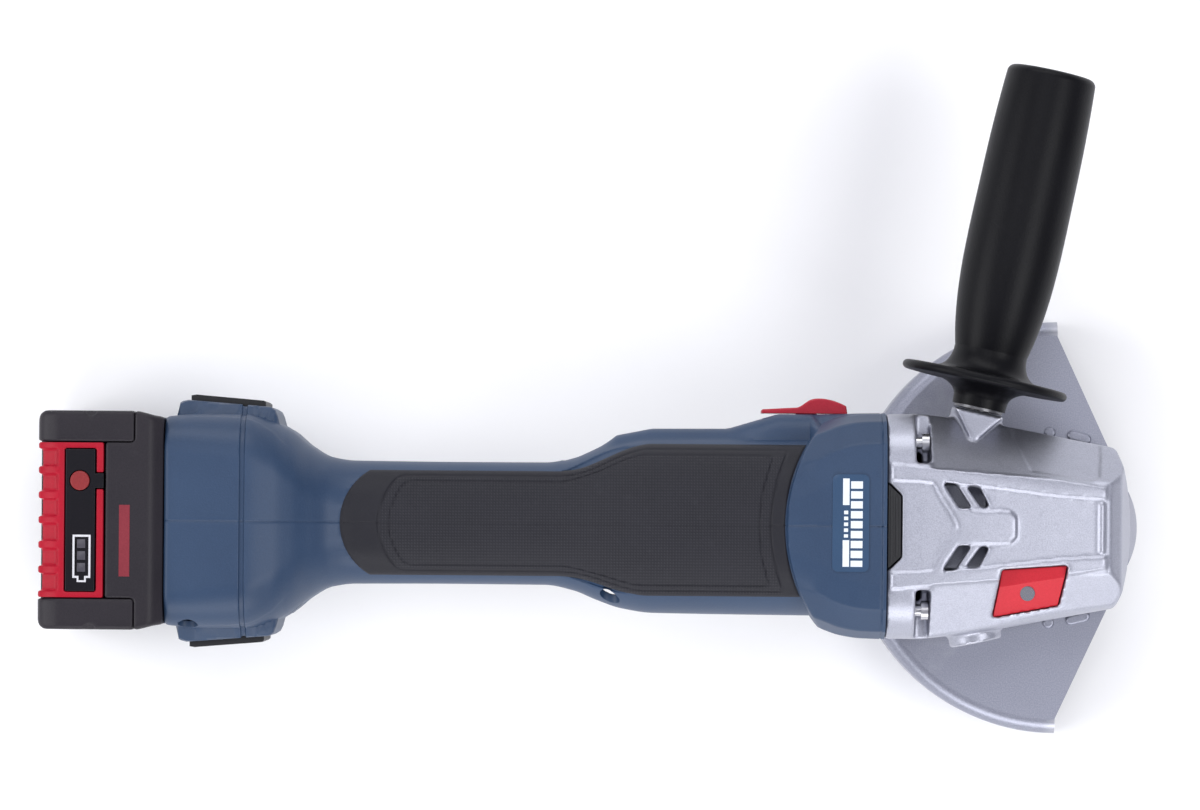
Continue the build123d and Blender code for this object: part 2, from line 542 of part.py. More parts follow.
# ---------------------------------------------------------------- motor
def make_motor():
    shaft = bar_x(SHAFT_R, -133.8, -31.0) + bar_x(PINION_BORE_R, -31.0, -14.4) + bar_x(3.5, -143, -133.8)
    save("motor_shaft", shaft)
    ball_bearing_x("front_bearing", SHAFT_R, 11.0, -44.0, -37.02)
    ball_bearing_x("rear_bearing", 3.5, 9.5, -141, -135)
    save("rear_bearing_sleeve", tube_x(11.0, 9.5, -141.4, -134.6))
    save("rotor_core", tube_x(12.0, SHAFT_R, STATOR_BACK, STATOR_FRONT))
    magnets = tube_x(13.6, 12.0, STATOR_BACK, STATOR_FRONT)
    for angle in (0, 45, 90, 135):
        magnets = magnets - Pos(-104, 0, MOTOR_Z) * Rot(angle, 0, 0) * Box(40, 1.0, 40)
    save("rotor_magnets", magnets)

    core = tube_x(STATOR_R, 20.5, STATOR_BACK, STATOR_FRONT)
    coils = []
    for i in range(6):
        turn = Pos(0, 0, MOTOR_Z) * Rot(60 * i, 0, 0) * Pos(0, 0, -MOTOR_Z)
        tooth = block(STATOR_BACK, STATOR_FRONT, -2.6, 2.6, MOTOR_Z + 15.5, MOTOR_Z + 21)
        shoe = (tube_x(16.6, STATOR_BORE_R, STATOR_BACK, STATOR_FRONT)
                & block(STATOR_BACK, STATOR_FRONT, -6.2, 6.2, MOTOR_Z + 10, MOTOR_Z + 30))
        core = core + turn * tooth + turn * shoe
        coil = block(STATOR_BACK - 5, STATOR_FRONT + 5, -5.0, 5.0, MOTOR_Z + 17.0, MOTOR_Z + 19.6)
        coil = coil - block(STATOR_BACK - 0.2, STATOR_FRONT + 0.2, -2.8, 2.8, 0, 130)
        coils.append(turn * round_edges(coil, [e for e in coil.edges() if abs(e.center().X + 104) > 18.5], 1.2))
    save("stator_core", core)
    save("stator_windings", *coils)
    save("sensor_board", tube_x(22.0, 9.0, -130.0, -128.4) + block(-128.4, -126.6, -4, 4, MOTOR_Z + 11, MOTOR_Z + 15))

    fan = tube_x(8.0, SHAFT_R, -80, -68) + tube_x(27.5, 8.0, -69.4, -68)
    for i in range(11):
        blade = block(-79, -69.2, 7.5, 27.4, MOTOR_Z - 0.6, MOTOR_Z + 0.6)
        fan = fan + Pos(0, 0, MOTOR_Z) * Rot(360 * i / 11, 0, 0) * Pos(0, 0, -MOTOR_Z) * blade
    save("cooling_fan", fan)


# ---------------------------------------------------------------- slide switch, lock button and electronics
def make_controls():
    y = 38.5
    outline = make_face([
        Line((-104.5, y), (-104.5, y + 1.3)), Line((-104.5, y + 1.3), (-92.4, y + 2.0)),
        Spline((-92.4, y + 2.0), (-87.0, y + 4.9), tangents=[(1, 0.2), (1, 0.25)]),
        Spline((-87.0, y + 4.9), (-80.5, y + 4.6), (-75.4, y + 2.6), tangents=[(1, 0.25), (1, -0.5)]),
        Line((-75.4, y + 2.6), (-75.0, y)), Line((-75.0, y), (-104.5, y)),
    ])
    cap = extrude(Pos(0, 0, MOTOR_Z - 6.5) * outline, 13)
    cap = round_edges(cap, [e for e in cap.edges() if e.center().Y > y + 0.5], 0.7)
    for i in range(4):
        cap = cap - block(-89.5 + 2.6 * i, -88.5 + 2.6 * i, y + 4.1, 60, MOTOR_Z - 4.5, MOTOR_Z + 4.5)
    cap = cap + block(-92.6, -85.4, 28.7, y, MOTOR_Z - 2.8, MOTOR_Z + 2.8)
    save("switch_slider", cap)
    rod = block(-154.5, -88, 27.0, 28.7, MOTOR_Z - 4, MOTOR_Z + 4)
    rod = rod + block(-154.5, -152, 15, 27.0, MOTOR_Z - 4, MOTOR_Z + 4) + block(-171, -152, 15, 17, MOTOR_Z - 4, MOTOR_Z + 4)
    save("switch_rod", rod)
    switch = block(-205, -173.6, -13, 13, 47, 77)
    switch = switch + block(-173.6, -171.6, 13.0 - 2, 17, MOTOR_Z - 2, MOTOR_Z + 2)
    save("switch_module", round_edges(switch, switch.edges().filter_by(Axis.X), 1.0))

    cap = prism([(x * 0.965 - 0.5, y * 0.965 - 0.75) for x, y in BUTTON], LOCK_FLOOR, LOCK_TOP + 3.0)
    cap = cap - side_slope(-1, SLOPE_RIGHT, LOCK_SUNK)
    cap = round_edges(cap, [e for e in cap.edges() if e.center().Z > LOCK_FLOOR + 3.2], 0.4)
    cap = cap - bar_z(1.8, LOCK_FLOOR - 1, 100, *LOCK_RIVET) - bar_z(2.6, LOCK_TOP - 1.2, 100, *LOCK_RIVET)
    save("lock_button", cap)
    rivet = bar_z(1.8, LOCK_FLOOR - 1, LOCK_TOP - 1.2, *LOCK_RIVET) + bar_z(2.5, LOCK_TOP - 1.2, LOCK_TOP - 0.2, *LOCK_RIVET)
    pin = bar_z(1.95, 75.0, LOCK_FLOOR - 1, *LOCK_PIN)
    save("lock_pin", rivet + pin + lock_arm(2.7, LOCK_FLOOR - 1.6, LOCK_FLOOR))
    turns = [Pos(LOCK_RIVET[0], LOCK_RIVET[1], 67.2 + 2.9 * i) * Torus(2.6, 0.5) for i in range(5)]
    save("lock_spring", *turns)

    tray = block(-297, -277, -29, 29, 20, 86) - block(-295.5, -276, -27.5, 27.5, 21.5, 84.5)
    for z in range(26, 84, 8):
        tray = tray + block(-298.6, -296.9, -26, 26, z, z + 1.6)
    save("controller_tray", tray)
    save("controller_board", block(-294.5, -293, -27, 27, 22, 84)
         + block(-293, -283, -22, -8, 30, 46) + block(-293, -281, 4, 20, 56, 72) + bar_x(5, -293, -279, -12, 68))
    save("terminal_block", block(-307.7, -303.7, -16, 16, 6, 34))
    save("terminal_blades", *[block(-316, -307.7, y - 0.5, y + 0.5, 9, 31) for y in BLADES_Y])
    wires = [bar_x(1.5, -276.5, -206, y, MOTOR_Z - dz) for y, dz in ((-8, 7), (-3, 9), (3, 9), (8, 7))]
    wires += [bar_x(1.5, -171.0, -131.0, y, MOTOR_Z - 12) for y in (-15, 15)]
    save("motor_wires", *wires)


# ---------------------------------------------------------------- wheel guard
def arc_point(radius, angle):
    return (radius * cos(radians(angle)), radius * sin(radians(angle)))


def guard_shell():
    low, high = GUARD_PLATE_Z, GUARD_PLATE_Z + GUARD_SHEET
    r, t, bend = GUARD_R, GUARD_SHEET, 5.0
    wall = make_face([
        Line((0, r - t - 3.5, FLOOR_Z), (0, r, FLOOR_Z)), Line((0, r, FLOOR_Z), (0, r, high - bend)),
        ThreePointArc((0, r, high - bend), (0, r - bend * (1 - cos(pi / 4)), high - bend * (1 - sin(pi / 4))), (0, r - bend, high)),
        Line((0, r - bend, high), (0, r - 12, high)), Line((0, r - 12, high), (0, r - 12, low)),
        Line((0, r - 12, low), (0, r - bend, low)),
        ThreePointArc((0, r - bend, low), (0, r - bend + (bend - t) * sin(pi / 4), low - (bend - t) * (1 - cos(pi / 4))),
                      (0, r - t, low - (bend - t))),
        Line((0, r - t, low - (bend - t)), (0, r - t, FLOOR_Z + t)), Line((0, r - t, FLOOR_Z + t), (0, r - t - 3.5, FLOOR_Z + t)),
        Line((0, r - t - 3.5, FLOOR_Z + t), (0, r - t - 3.5, FLOOR_Z)),
    ])
    rim = revolve(wall, Axis.Z, 180)
    edge = r - bend - 0.2
    touch = degrees(atan2(1, 0)) - degrees(atan2((edge**2 - GUARD_NOSE_R**2) ** 0.5, GUARD_NOSE_R))
    outline = make_face([
        ThreePointArc((0, edge), (-edge, 0), (0, -edge)),
        Line((0, -edge), arc_point(GUARD_NOSE_R, -touch)),
        ThreePointArc(arc_point(GUARD_NOSE_R, -touch), (GUARD_NOSE_R, 0), arc_point(GUARD_NOSE_R, touch)),
        Line(arc_point(GUARD_NOSE_R, touch), (0, edge)),
    ]) - Circle(NECK_R + 0.4)
    shell = rim + extrude(Pos(0, 0, low) * outline, t)
    shell = shell - bar_z(NECK_R + 0.4, 0, 40)
    for side in (1, -1):
        knob = bar_z(2.0, high - 0.2, high + 1.1, -2.4, side * 33.2)
        knob = round_edges(knob, knob.edges().group_by(Axis.Z)[-1], 0.9)
        bead = extrude(Pos(7.8, side * 31.6, high - 0.2) * Rot(0, 0, -side * 14) * SlotOverall(8.6, 3.6), 1.3)
        bead = round_edges(bead, bead.edges().group_by(Axis.Z)[-1], 0.9)
        shell = shell + knob + bead
    return shell


LEVER_PIVOT = arc_point(33.0, 196)


def make_guard():
    save("guard_shell", guard_shell())
    z0, z1 = GUARD_PLATE_Z + GUARD_SHEET, 25.8
    band = tube_z(NECK_R + 2.9, NECK_R + 0.3, z0, z1)
    lug = Rot(0, 0, 196) * (block(24, 37, -4.5, 4.5, z0, z1))
    lug = lug - Rot(0, 0, 196) * block(28.5, 40, -6, 6, 20.0, 23.8) - bar_z(NECK_R + 0.3, 0, 40)
    lug = round_edges(lug, [e for e in lug.edges().filter_by(Axis.Z) if hypot(e.center().X, e.center().Y) > 35], 3.0)
    band = (band + lug) - Rot(0, 0, 170) * block(20, 27, -0.6, 0.6, z0, z1) - bar_z(1.5, 0, 40, *LEVER_PIVOT)
    save("guard_band", band)
    save("lever_pin", bar_z(1.45, z0 + 0.2, z1 + 0.1, *LEVER_PIVOT))
    arm = tube_z(39.8, 36.6, 20.2, 23.6) & (Rot(0, 0, 192) * prism([(0, 0), (60, 0), (60, 60)], 0, 60))
    knuckle = bar_z(3.6, 20.2, 23.6, *LEVER_PIVOT) + (Rot(0, 0, 196) * block(33, 38.4, -2.4, 3.2, 20.2, 23.6))
    arm = arm + knuckle - bar_z(1.52, 0, 40, *LEVER_PIVOT)
    save("guard_lever", arm)


# ---------------------------------------------------------------- side handle
def make_handle():
    place = handle_plane(1)
    grip = make_face([
        Line((4.2, 1.4), (9.2, 1.4)), Line((9.2, 1.4), (9.4, 4.4)),
        Spline((9.4, 4.4), (12.5, 8.0), (27.2, 9.4), tangents=[(0.2, 1), (1, 0.08)]),
        ThreePointArc((27.2, 9.4), (28.7, 10.9), (27.2, 12.4)),
        Spline((27.2, 12.4), (14.6, 14.6), (12.6, 21.0), tangents=[(-1, 0.05), (0.02, 1)]),
        Spline((12.6, 21.0), (15.3, 36.0), (16.5, 74.0), (15.4, HANDLE_LENGTH - 2.5), tangents=[(0.25, 1), (-0.06, 1)]),
        ThreePointArc((15.4, HANDLE_LENGTH - 2.5), (14.6, HANDLE_LENGTH - 0.7), (12.8, HANDLE_LENGTH)),
        Line((12.8, HANDLE_LENGTH), (4.2, HANDLE_LENGTH - 0.6)), Line((4.2, HANDLE_LENGTH - 0.6), (4.2, 1.4)),
    ])
    turned = revolve(Plane.XZ * grip, Axis.Z)
    core_top = 40.0
    plug = Pos(0, 0, (core_top + HANDLE_LENGTH - 0.6) / 2) * Cylinder(4.2, HANDLE_LENGTH - 0.6 - core_top)
    save("handle_grip", place * (turned + plug))
    stud = Pos(0, 0, 13.5) * Cylinder(4.2, 53) + Pos(0, 0, 0.85) * Cylinder(8.4, 0.9)
    save("handle_stud", place * stud)


# ---------------------------------------------------------------- battery pack
def battery_hull():
    """The pack's outer form: a low box with a raised wall over the foot's end."""
    hull = block(BATTERY_BACK, -324.0, -BATTERY_HALF, BATTERY_HALF, FLOOR_Z, BATTERY_TOP)
    hull = hull + block(-330, FOOT_BACK - 0.3, -BATTERY_HALF, BATTERY_HALF, 88.0, BATTERY_TOP)
    hull = round_edges(hull, [e for e in hull.edges() if e.center().X < BATTERY_BACK + 0.1], 3.2)
    rest = [e for e in hull.edges() if (e.center().Z > BATTERY_TOP - 0.1 or abs(e.center().Y) > BATTERY_HALF - 0.1)
            and e.center().X > BATTERY_BACK + 4 and abs(e.center().X - FOOT_BACK) > 1.5]
    return round_edges(hull, rest, 1.6)


RIB_PITCH = 8.4


def make_battery():
    hull = battery_hull()
    inner = block(BATTERY_BACK + 2.2, LID_X0 + 1, -34.6, 34.6, -7.0, 86.8)
    bay = block(BATTERY_BACK - 5, -327.0, -BAY_HALF, BAY_HALF, 88.0, 120)
    # Half-round grip notches in the long edges.
    notches = [bar_z(2.0, BATTERY_TOP - 1.6, 120, -331.5, side * BATTERY_HALF) for side in (1, -1)]
    lower_zone = (block(-400, BATTERY_SEAM, -50, -BAY_HALF, 88, 120) + block(-400, BATTERY_SEAM, BAY_HALF, 50, 88, 120)
                  + block(-400, LID_X0, -50, 50, -30, 88.0))
    lower = (hull & lower_zone) - inner - bay
    for notch in notches:
        lower = lower - notch
    for y, z in BATTERY_SCREWS_YZ:
        lower = lower + bar_x(3.6, BATTERY_BACK + 2, LID_X0, y, z)
        lower = lower - bar_x(1.6, BATTERY_BACK - 1, LID_X0 + 1, y, z) - bar_x(3.2, BATTERY_BACK - 1, BATTERY_BACK + 2.4, y, z)
    save("battery_tray", lower)

    keep = block(LID_X0, -300, -BAY_HALF + 0.15, BAY_HALF - 0.15, 88.1, 120) + block(BATTERY_SEAM + 0.2, -300, -50, 50, 88.1, 120)
    lid = block(LID_X0, LID_X1, -BATTERY_HALF, BATTERY_HALF, FLOOR_Z, 88.0)
    lid = chamfer(lid.edges().filter_by(Axis.Y).group_by(Axis.Z)[0].sort_by(Axis.X)[-1:], 1.0)
    runner = block(LID_X1, -317.8, -21.6, 21.6, 2, 89) + block(-317.8, -308.2, -25.4, 25.4, 2, 89)
    top = ((hull & keep) + [lid, block(LID_X0, LID_X1, -BAY_HALF + 0.15, BAY_HALF - 0.15, 88.0, 89), runner])
    top = top - [block(-318.5, -300, y - 1.3, y + 1.3, 0, 33) for y in BLADES_Y]
    save("battery_lid", top)

    cells = [bar_y(CELL_R, -CELL_LENGTH / 2, CELL_LENGTH / 2, BATTERY_BACK + 2.4 + CELL_R, 2.6 + CELL_PITCH * i) for i in range(5)]
    save("battery_cells", *cells)
    clips = [block(-327.3, -326.8, y - 1.6, y + 1.6, 8, 30) for y in BLADES_Y]
    save("battery_board", block(-328.5, -327.3, -30, 30, 2, 82) + clips)
    screws = []
    for y, z in BATTERY_SCREWS_YZ:
        head = bar_x(3.0, BATTERY_BACK + 0.8, BATTERY_BACK + 2.4, y, z) - bar_x(1.2, BATTERY_BACK, BATTERY_BACK + 1.8, y, z)
        screws.append(head + bar_x(1.6, BATTERY_BACK + 2.4, LID_X0 - 0.4, y, z))
    save("battery_screws", *screws)

    # Charge panel, which stands in the bay and shows through the button's window.
    x0, x1 = -340.0, -330.0
    panel = block(x0, x1, -24.0, 24.0, 88.0, BATTERY_TOP + 0.2)
    panel = panel + block(x1 - 0.1, -327.1, 10.8, 15.8, 90.0, BATTERY_TOP + 0.2)
    panel = round_edges(panel, panel.edges().group_by(Axis.Z)[-1], 0.4)
    panel = panel - bar_z(3.6, BATTERY_TOP - 3, 120, *CHARGE_BUTTON)
    for y in LED_Y:
        panel = panel - block(CHARGE_BUTTON[0] - 1.6, CHARGE_BUTTON[0] + 1.6, y - 1.6, y + 1.6, BATTERY_TOP - 0.6, 120)
    save("charge_panel", panel)
    button = bar_z(3.3, BATTERY_TOP - 2.0, BATTERY_TOP + 0.5, *CHARGE_BUTTON)
    save("charge_button", round_edges(button, button.edges().group_by(Axis.Z)[-1], 0.5))

    save("release_button", release_button())


BATTERY_SCREWS_YZ = [(31.6, 91.4), (-31.6, 91.4)]
LID_X0, LID_X1 = -326.6, -323.6
BLADES_Y = (-9, -3, 3, 9)
CHARGE_BUTTON = (-335.2, 13.3)
LED_Y = (-8.0, -12.0, -16.0)


def release_button():
    """The ribbed red button that frames the charge panel."""
    z0, top = 92.0, BATTERY_TOP - 0.2
    back, front = BATTERY_BACK + 0.2, -327.2
    plate = block(back + 1.4, front, -BAY_HALF + 0.3, BAY_HALF - 0.3, z0, top - 1.2)
    plate = plate + block(-342.6, front, -BAY_HALF + 0.3, BAY_HALF - 0.3, z0, top)
    for i in range(7):
        y = (i - 3) * RIB_PITCH
        low, high = max(y - 1.25, -BAY_HALF + 0.3), min(y + 1.25, BAY_HALF - 0.3)
        rib = block(back, -342.0, low, high, z0, top)
        plate = plate + round_edges(rib, [e for e in rib.edges() if e.center().X < back + 0.1], 0.6)
    plate = plate - block(-340.3, -329.7, -24.3, 24.3, 0, 130) - block(-330, -320, 10.5, 16.1, 0, 130)
    return plate


os.makedirs("parts", exist_ok=True)
make_housing()
make_head()
make_gears()
make_spindle()
make_motor()
make_controls()
make_guard()
make_handle()
make_battery()
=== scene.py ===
"""A cordless angle grinder, dressed over its fixed frame. Lengths in the tables are in millimetres
on the frame's axes: X runs along the tool to its nose, Y to the side handle, and Z up out of the head."""
from math import cos, pi, radians, sin

import bmesh
import bpy
import numpy as np
from mathutils import Matrix, Vector


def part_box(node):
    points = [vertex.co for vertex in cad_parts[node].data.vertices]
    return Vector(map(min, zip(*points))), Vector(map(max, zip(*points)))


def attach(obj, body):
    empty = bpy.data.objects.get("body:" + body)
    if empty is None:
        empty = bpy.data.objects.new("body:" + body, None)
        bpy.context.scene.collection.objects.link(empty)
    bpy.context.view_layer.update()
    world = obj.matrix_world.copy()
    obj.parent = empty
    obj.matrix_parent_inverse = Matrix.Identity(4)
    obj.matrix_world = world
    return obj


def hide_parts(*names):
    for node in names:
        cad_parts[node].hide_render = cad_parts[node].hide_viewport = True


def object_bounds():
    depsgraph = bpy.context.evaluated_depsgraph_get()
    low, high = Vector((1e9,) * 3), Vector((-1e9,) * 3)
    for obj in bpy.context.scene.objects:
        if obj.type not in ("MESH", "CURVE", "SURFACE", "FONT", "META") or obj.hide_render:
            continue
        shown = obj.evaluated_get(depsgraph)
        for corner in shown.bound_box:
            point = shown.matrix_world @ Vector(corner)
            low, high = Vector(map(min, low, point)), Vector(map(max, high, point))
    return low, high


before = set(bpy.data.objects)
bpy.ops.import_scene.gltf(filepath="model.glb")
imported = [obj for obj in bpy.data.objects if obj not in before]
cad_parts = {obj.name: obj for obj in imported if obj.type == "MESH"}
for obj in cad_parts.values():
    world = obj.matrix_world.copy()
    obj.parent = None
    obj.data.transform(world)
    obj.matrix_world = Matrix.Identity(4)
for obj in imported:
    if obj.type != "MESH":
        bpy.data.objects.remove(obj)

# ---------------------------------------------------------------- the bench
# The tool lies on a pale bench with its gear head up. The camera hangs high above the grip and looks
# straight down through a long lens. One broad soft light hangs overhead and four stand round the bench.
MM = 0.001
cad_box = [[float(v) for v in corner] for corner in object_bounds()]
floor_z = cad_box[0][2]

eye = bpy.data.cameras.new("overhead_camera")
eye.lens, eye.sensor_width = 217.9, 36.0
eye.shift_y = 0.0992
eye.clip_end = 20.0
camera = bpy.data.objects.new("overhead_camera", eye)
camera.location = (-0.1595, 0.0, 2.558)
camera.rotation_euler = (0.0, 0.0, 0.00806)
bpy.context.scene.collection.objects.link(camera)
bpy.context.scene.camera = camera


def soft_light(name, place, aim, width, depth, watts, tint):
    lamp = bpy.data.lights.new(name, "AREA")
    lamp.shape, lamp.size, lamp.size_y, lamp.energy, lamp.color = "RECTANGLE", width, depth, watts, tint
    holder = bpy.data.objects.new(name, lamp)
    holder.location = place
    holder.rotation_euler = (Vector(aim) - Vector(place)).to_track_quat("-Z", "Y").to_euler()
    bpy.context.scene.collection.objects.link(holder)


soft_light("light_overhead", (-0.35, 0.50, 1.9), (-0.15, 0.0, 0.0), 1.2, 0.7, 5.5, (0.98, 0.98, 1.0))
soft_light("light_left", (-1.45, -0.1, 0.85), (-0.15, 0.0, 0.04), 1.4, 0.9, 15.0, (1.0, 1.0, 1.0))
soft_light("light_right", (0.95, -0.25, 1.65), (-0.15, 0.0, 0.04), 1.1, 0.8, 15.0, (1.0, 1.0, 1.0))
soft_light("light_far", (-0.2, 1.45, 0.85), (-0.15, 0.0, 0.04), 1.9, 0.8, 15.0, (1.0, 1.0, 1.0))
soft_light("light_near", (-0.1, -1.40, 0.80), (-0.15, 0.0, 0.04), 1.9, 0.8, 18.0, (1.0, 1.0, 1.0))

sky = bpy.data.worlds.new("studio_air")
sky.use_nodes = True
sky.node_tree.nodes["Background"].inputs["Color"].default_value = (0.90, 0.92, 1.12, 1.0)
sky.node_tree.nodes["Background"].inputs["Strength"].default_value = 0.32
bpy.context.scene.world = sky
bpy.context.scene.view_settings.view_transform = "Standard"


class Tone:
    """A value or vector on its way through a finish's nodes."""

    def __init__(self, socket):
        self.socket = socket

    def _maths(self, operation, *terms):
        tree = self.socket.id_data
        node = tree.nodes.new("ShaderNodeMath")
        node.operation = operation
        for slot, term in zip(node.inputs, terms):
            if isinstance(term, Tone):
                tree.links.new(term.socket, slot)
            else:
                slot.default_value = term
        return Tone(node.outputs[0])

    def __add__(self, other): return self._maths("ADD", self, other)
    def __radd__(self, other): return self._maths("ADD", other, self)
    def __sub__(self, other): return self._maths("SUBTRACT", self, other)
    def __rsub__(self, other): return self._maths("SUBTRACT", other, self)
    def __mul__(self, other): return self._maths("MULTIPLY", self, other)
    def __rmul__(self, other): return self._maths("MULTIPLY", other, self)
    def __truediv__(self, other): return self._maths("DIVIDE", self, other)
    def __pow__(self, other): return self._maths("POWER", self, other)
    def __gt__(self, other): return self._maths("GREATER_THAN", self, other)
    def __lt__(self, other): return self._maths("LESS_THAN", self, other)
    def __abs__(self): return self._maths("ABSOLUTE", self)
    def wave(self): return self._maths("SINE", self)
    def least(self, other): return self._maths("MINIMUM", self, other)
    def most(self, other): return self._maths("MAXIMUM", self, other)


class Finish:
    """One material, with its maker's tools."""

    def __init__(self, name):
        self.material = bpy.data.materials.new(name)
        self.material.use_nodes = True
        self.tree = self.material.node_tree
        self.shader = self.tree.nodes["Principled BSDF"]
        self.place = self.node("ShaderNodeTexCoord", out="Object")

    def node(self, kind, settings=None, values=None, out=0):
        """Adds one node: its settings first, then the values or links of its sockets."""
        node = self.tree.nodes.new(kind)
        for key, value in (settings or {}).items():
            if key == "stops":
                ramp = node.color_ramp.elements
                while len(ramp) < len(value):
                    ramp.new(0.5)
                for stop, (position, colour) in zip(ramp, value):
                    stop.position, stop.color = position, (*colour, 1.0)
            else:
                setattr(node, key, value)
        self.feed(node, values or {})
        return Tone(node.outputs[out])

    def feed(self, node, values):
        for key, value in values.items():
            slot = node.inputs[key]
            if isinstance(value, Tone):
                self.tree.links.new(value.socket, slot)
            elif slot.type == "RGBA" and len(value) == 3:
                slot.default_value = (*value, 1.0)
            else:
                slot.default_value = value

    def stretched(self, x, y, z):
        return self.node("ShaderNodeVectorMath", {"operation": "MULTIPLY"}, {0: self.place, 1: (x, y, z)})

    def cloud(self, size_mm, detail=3.0, rough=0.55, vector=None):
        """Soft noise from 0 to 1, its lumps about size_mm across."""
        return self.node("ShaderNodeTexNoise", None, {
            "Vector": vector or self.place, "Scale": 1000.0 / size_mm, "Detail": detail, "Roughness": rough})

    def pebbles(self, size_mm):
        """Distance to the nearest pebble's middle, as on spark-eroded plastic."""
        return self.node("ShaderNodeTexVoronoi", {"feature": "SMOOTH_F1"}, {
            "Vector": self.place, "Scale": 1000.0 / size_mm, "Smoothness": 0.6})

    def axis(self, which):
        return self.node("ShaderNodeSeparateXYZ", None, {0: self.place}, out=which)

    def blend(self, share, first, second):
        """A colour between two colours."""
        node = self.tree.nodes.new("ShaderNodeMix")
        node.data_type = "RGBA"
        for slot, value in ((node.inputs[0], share), (node.inputs[6], first), (node.inputs[7], second)):
            if isinstance(value, Tone):
                self.tree.links.new(value.socket, slot)
            else:
                slot.default_value = value if slot.type == "VALUE" else (*value, 1.0)
        return Tone(node.outputs[2])

    def soften(self, tone, low, high):
        """Spreads low..high over 0..1 with soft ends."""
        return self.node("ShaderNodeMapRange", {"interpolation_type": "SMOOTHSTEP"}, {
            "Value": tone, "From Min": low, "From Max": high})

    def worn_edge(self, low=0.52, high=0.60):
        """1 on the part's outward edges, broken up by handling."""
        edge = self.node("ShaderNodeNewGeometry", out="Pointiness")
        return self.soften(edge + (self.cloud(3.0) - 0.5) * 0.06, low, high)

    def relief(self, height, depth_mm, strength=1.0, under=None):
        values = {"Height": height, "Distance": depth_mm * MM, "Strength": strength}
        if under:
            values["Normal"] = under
        return self.node("ShaderNodeBump", None, values)

    def wear(self, **inputs):
        self.feed(self.shader, {key.replace("_", " "): value for key, value in inputs.items()})
        return self.material


def moulded(name, colour, dark, grain_mm, depth_mm, rough, sheen=0.35, scuff=0.25):
    """Injection-moulded plastic: spark-eroded grain, faint flow clouds, and a dusting of handling marks."""
    finish = Finish(name)
    grain = finish.pebbles(grain_mm) * 0.7 + finish.cloud(grain_mm * 0.6, 2.0) * 0.5
    clouds = finish.cloud(24.0, 4.0)
    scuffs = finish.soften(finish.cloud(5.0, 6.0, 0.7), 0.60, 0.75) * scuff
    base = finish.blend(finish.soften(clouds * 0.6 + grain * 0.4, 0.25, 0.75), dark, colour)
    lighter = tuple(min(1.0, c * 1.5 + 0.015) for c in colour)
    finish.wear(
        Base_Color=finish.blend(scuffs, base, lighter),
        Roughness=rough + (clouds - 0.5) * 0.10 + scuffs * 0.2,
        Normal=finish.relief(grain, depth_mm),
        Specular_IOR_Level=sheen)
    return finish.material


def metal(name, colour, dark, rough, grain_mm=0.5, depth_mm=0.01, stretch=None, stain=0.35):
    """Bare metal: drawn or tumbled grain, with soft dull patches."""
    finish = Finish(name)
    vector = finish.stretched(*stretch) if stretch else None
    grain = finish.cloud(grain_mm, 4.0, 0.6, vector)
    patches = finish.soften(finish.cloud(14.0, 5.0, 0.6), 0.35, 0.75) * stain
    finish.wear(
        Base_Color=finish.blend(patches + (grain - 0.5) * 0.25, colour, dark),
        Metallic=1.0,
        Roughness=rough + (grain - 0.5) * 0.12 + patches * 0.12,
        Normal=finish.relief(grain, depth_mm))
    return finish.material


def floor_finish():
    finish = Finish("bench_white")
    speck = finish.cloud(60.0, 4.0)
    return finish.wear(
        Base_Color=finish.blend(speck, (0.90, 0.90, 0.90), (0.93, 0.93, 0.93)),
        Roughness=0.85 + speck * 0.05)


def grid_faces(columns, rows):
    """Quads over a grid of points that is stored column by column."""
    return [(c * rows + r, (c + 1) * rows + r, (c + 1) * rows + r + 1, c * rows + r + 1)
            for c in range(columns - 1) for r in range(rows - 1)]


def new_piece(name, points, faces, finish, crease=35.0):
    """A mesh object from points in millimetres."""
    mesh = bpy.data.meshes.new(name)
    mesh.from_pydata([tuple(p) for p in np.asarray(points) * MM], [], faces)
    mesh.materials.append(finish)
    piece = bpy.data.objects.new(name, mesh)
    bpy.context.scene.collection.objects.link(piece)
    settle(piece, crease)
    return piece


def settle(piece, crease):
    """Smooth shading that stays crisp at edges sharper than crease degrees."""
    piece.data.shade_smooth()
    piece.data.set_sharp_from_angle(angle=radians(crease))


BENCH_HALF = 4000
bench_corners = [
    (x * BENCH_HALF, y * BENCH_HALF, floor_z / MM) for x, y in ((-1, -1), (1, -1), (1, 1), (-1, 1))]
bench = new_piece("bench", bench_corners, [(0, 1, 2, 3)], floor_finish())


def dress(finish, *nodes):
    """Gives a finish to parts whose shape comes from the frame."""
    for node in nodes:
        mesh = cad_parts[node].data
        mesh.materials.clear()
        mesh.materials.append(finish)


# ---------------------------------------------------------------- motor and gears
# The brushless motor: a laminated stator with six copper coils, a magnet rotor on a ground shaft, and a
# nylon fan. The shaft turns in two ball bearings, and its pinion drives the bevel gear on the spindle.
ground_steel = metal(
    "ground_steel", (0.60, 0.60, 0.61), (0.40, 0.40, 0.41), 0.24, 0.35, 0.004, (1.0, 1.0, 0.15))
bearing_steel = metal("bearing_steel", (0.66, 0.66, 0.67), (0.50, 0.50, 0.52), 0.16, 0.3, 0.002)
lamination = metal(
    "lamination_steel", (0.33, 0.34, 0.36), (0.20, 0.20, 0.22), 0.38, 0.5, 0.03, (6.0, 0.2, 0.2))
gear_steel = metal("gear_steel", (0.36, 0.36, 0.37), (0.20, 0.20, 0.21), 0.34, 0.4, 0.01)
enamel = metal("enamelled_copper", (0.66, 0.27, 0.10), (0.42, 0.15, 0.05), 0.28, 0.45, 0.12, (0.1, 1.0, 1.0))
fan_nylon = moulded("fan_nylon", (0.05, 0.05, 0.055), (0.03, 0.03, 0.03), 0.5, 0.02, 0.48)
